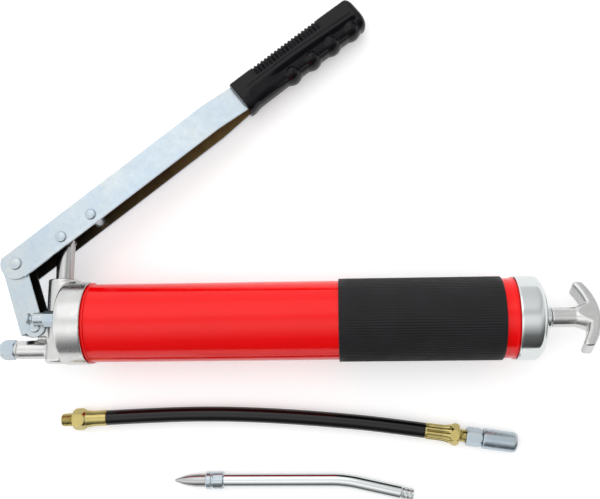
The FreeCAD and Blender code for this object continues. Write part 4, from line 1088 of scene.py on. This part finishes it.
# ---------------- follower and handle
class GREASE_OT_follower(bpy.types.Operator):
    """Follower, its spring and its rod inside the barrel"""

    bl_idname = "grease.follower"
    bl_label = "Follower"

    def execute(self, context):
        dress("zinc_plate", "follower_front_plate", "follower_back_plate", "rod_nut")
        dress("seal_rubber", "follower_cup")
        dress("spring_steel", "rod_clip")
        spring("follower_coil", "follower_spring", "rod_pull")
        dress("steel", "follower_rod", "handle_pin")
        return {"FINISHED"}


class GREASE_OT_handle(bpy.types.Operator):
    """Cast T-handle"""

    bl_idname = "grease.handle"
    bl_label = "T-handle"

    def execute(self, context):
        cast(cad_copy("handle_casting", "t_handle", "cast_aluminium", "handle_body"), 0.5, 4)
        return {"FINISHED"}


# ---------------- stage
class GREASE_OT_stage(bpy.types.Operator):
    """Pale floor, soft studio light and camera"""

    bl_idname = "grease.stage"
    bl_label = "Stage"

    def execute(self, context):
        scene = context.scene
        scene.view_settings.view_transform = "Standard"
        camera = add_object("camera", bpy.data.cameras.new("camera"))
        camera.location = (0.0376, -0.07506, 0.6270)
        camera.rotation_euler = tuple(math.radians(angle) for angle in (6.5785, 3.2619, -0.6313))
        camera.data.lens = 49.39
        camera.data.sensor_width = 36.0
        camera.data.clip_start = 0.02
        scene.camera = camera
        data = bpy.data.lights.new("key_light", "AREA")
        data.shape = "RECTANGLE"
        data.size, data.size_y = 1.1, 1.0
        data.energy = 1.4
        lamp = add_object("key_light", data)
        lamp.location = (-0.2, 0.75, 1.1)
        lamp.rotation_euler = (-lamp.location).to_track_quat("-Z", "Y").to_euler()
        self.floor(scene.gun_colors.floor)
        self.world(scene)
        return {"FINISHED"}

    def floor(self, color):
        """Pale floor that keeps the shadows and glows a little where it is seen."""
        half = 3.0
        corners = [(-half, -half, 0), (half, -half, 0), (half, half, 0), (-half, half, 0)]
        mesh = bpy.data.meshes.new("floor")
        mesh.from_pydata(corners, [], [(0, 1, 2, 3)])
        floor = add_object("floor", mesh)
        material = bpy.data.materials.new("floor")
        material.use_nodes = True
        tree = material.node_tree
        link = tree.links.new
        shader = tree.nodes["Principled BSDF"]
        shader.inputs["Base Color"].default_value = (*color, 1.0)
        shader.inputs["Roughness"].default_value = 0.9
        shader.inputs["Specular IOR Level"].default_value = 0.1
        # The glow is there for the camera, in metal and through glass.
        path = new_node(tree, "LightPath")
        seen = path.outputs["Is Camera Ray"]
        for ray in ("Is Glossy Ray", "Is Transmission Ray"):
            either = new_node(tree, "Math")
            either.operation = "MAXIMUM"
            link(seen, either.inputs[0])
            link(path.outputs[ray], either.inputs[1])
            seen = either.outputs["Value"]
        pick = new_node(tree, "MixShader")
        add = new_node(tree, "AddShader")
        link(seen, pick.inputs["Fac"])
        link(new_node(tree, "Emission", Strength=0.0).outputs["Emission"], pick.inputs[1])
        link(new_node(tree, "Emission", Strength=0.33).outputs["Emission"], pick.inputs[2])
        link(shader.outputs["BSDF"], add.inputs[0])
        link(pick.outputs["Shader"], add.inputs[1])
        link(add.outputs["Shader"], tree.nodes["Material Output"].inputs["Surface"])
        mesh.materials.append(material)

    def world(self, scene):
        """Surroundings by one slanting direction: bright above and behind, dark low in front."""
        world = bpy.data.worlds.new("studio")
        scene.world = world
        world.use_nodes = True
        tree = world.node_tree
        link = tree.links.new
        place = new_node(tree, "TexCoord").outputs["Generated"]
        slant = new_node(tree, "VectorMath")
        slant.operation = "DOT_PRODUCT"
        slant.inputs[1].default_value = (-0.3, 1.0, 0.35)
        # Light level by slope, the slanting direction's share of the way looked.
        levels = ((-1.0, 0.1), (-0.83, 0.18), (-0.6, 0.26), (-0.31, 0.8), (0.0, 1.5), (0.2, 1.6),
                  (0.31, 1.5), (0.45, 1.1), (0.6, 1.2), (0.7, 1.35), (0.85, 1.35), (1.05, 1.2))
        lowest, highest, brightest = -1.0, 1.1, 1.6
        reach = new_node(tree, "MapRange", From_Min=lowest, From_Max=highest)
        ramp = new_node(tree, "ValToRGB")
        for _ in levels[2:]:
            ramp.color_ramp.elements.new(0.5)
        for element, (slope, level) in zip(ramp.color_ramp.elements, levels):
            element.position = (slope - lowest) / (highest - lowest)
            element.color = (*([level / brightest] * 3), 1)
        # The side to the right is dimmer.
        sides = new_node(tree, "SeparateXYZ")
        dim = new_node(tree, "MapRange", From_Min=-0.05, From_Max=0.3, To_Min=1.0 * brightest,
                       To_Max=0.6 * brightest)
        link(place, slant.inputs[0])
        link(place, sides.inputs["Vector"])
        link(sides.outputs["X"], dim.inputs["Value"])
        link(slant.outputs["Value"], reach.inputs["Value"])
        link(reach.outputs["Result"], ramp.inputs["Fac"])
        background = tree.nodes["Background"]
        link(ramp.outputs["Color"], background.inputs["Color"])
        link(dim.outputs["Result"], background.inputs["Strength"])


OPERATORS = (
    GREASE_OT_hose, GREASE_OT_pipe, GREASE_OT_barrel, GREASE_OT_cap, GREASE_OT_head,
    GREASE_OT_outlet, GREASE_OT_filler, GREASE_OT_plunger, GREASE_OT_lever, GREASE_OT_grip,
    GREASE_OT_link, GREASE_OT_follower, GREASE_OT_handle, GREASE_OT_stage,
)


class GREASE_PT_panel(bpy.types.Panel):
    """Lists the gun's pieces and settings"""

    bl_label = "Grease gun"
    bl_idname = "GREASE_PT_panel"
    bl_space_type = "VIEW_3D"
    bl_region_type = "UI"
    bl_category = "Grease gun"

    def draw(self, context):
        for group in (context.scene.gun_sizes, context.scene.gun_colors):
            for name in group.bl_rna.properties.keys():
                if name not in ("rna_type", "name"):
                    self.layout.prop(group, name)
        for operator in OPERATORS:
            self.layout.operator(operator.bl_idname)


CLASSES = (GunSizes, GunColors, *OPERATORS, GREASE_PT_panel)


def register():
    for made in CLASSES:
        bpy.utils.register_class(made)
    bpy.types.Scene.gun_sizes = bpy.props.PointerProperty(type=GunSizes)
    bpy.types.Scene.gun_colors = bpy.props.PointerProperty(type=GunColors)


def unregister():
    del bpy.types.Scene.gun_sizes
    del bpy.types.Scene.gun_colors
    for made in reversed(CLASSES):
        bpy.utils.unregister_class(made)


def main():
    register()
    build_finishes(bpy.context.scene.gun_colors)
    for operator in OPERATORS:
        group, name = operator.bl_idname.split(".")
        getattr(getattr(bpy.ops, group), name)()


if __name__ == "__main__":
    main()
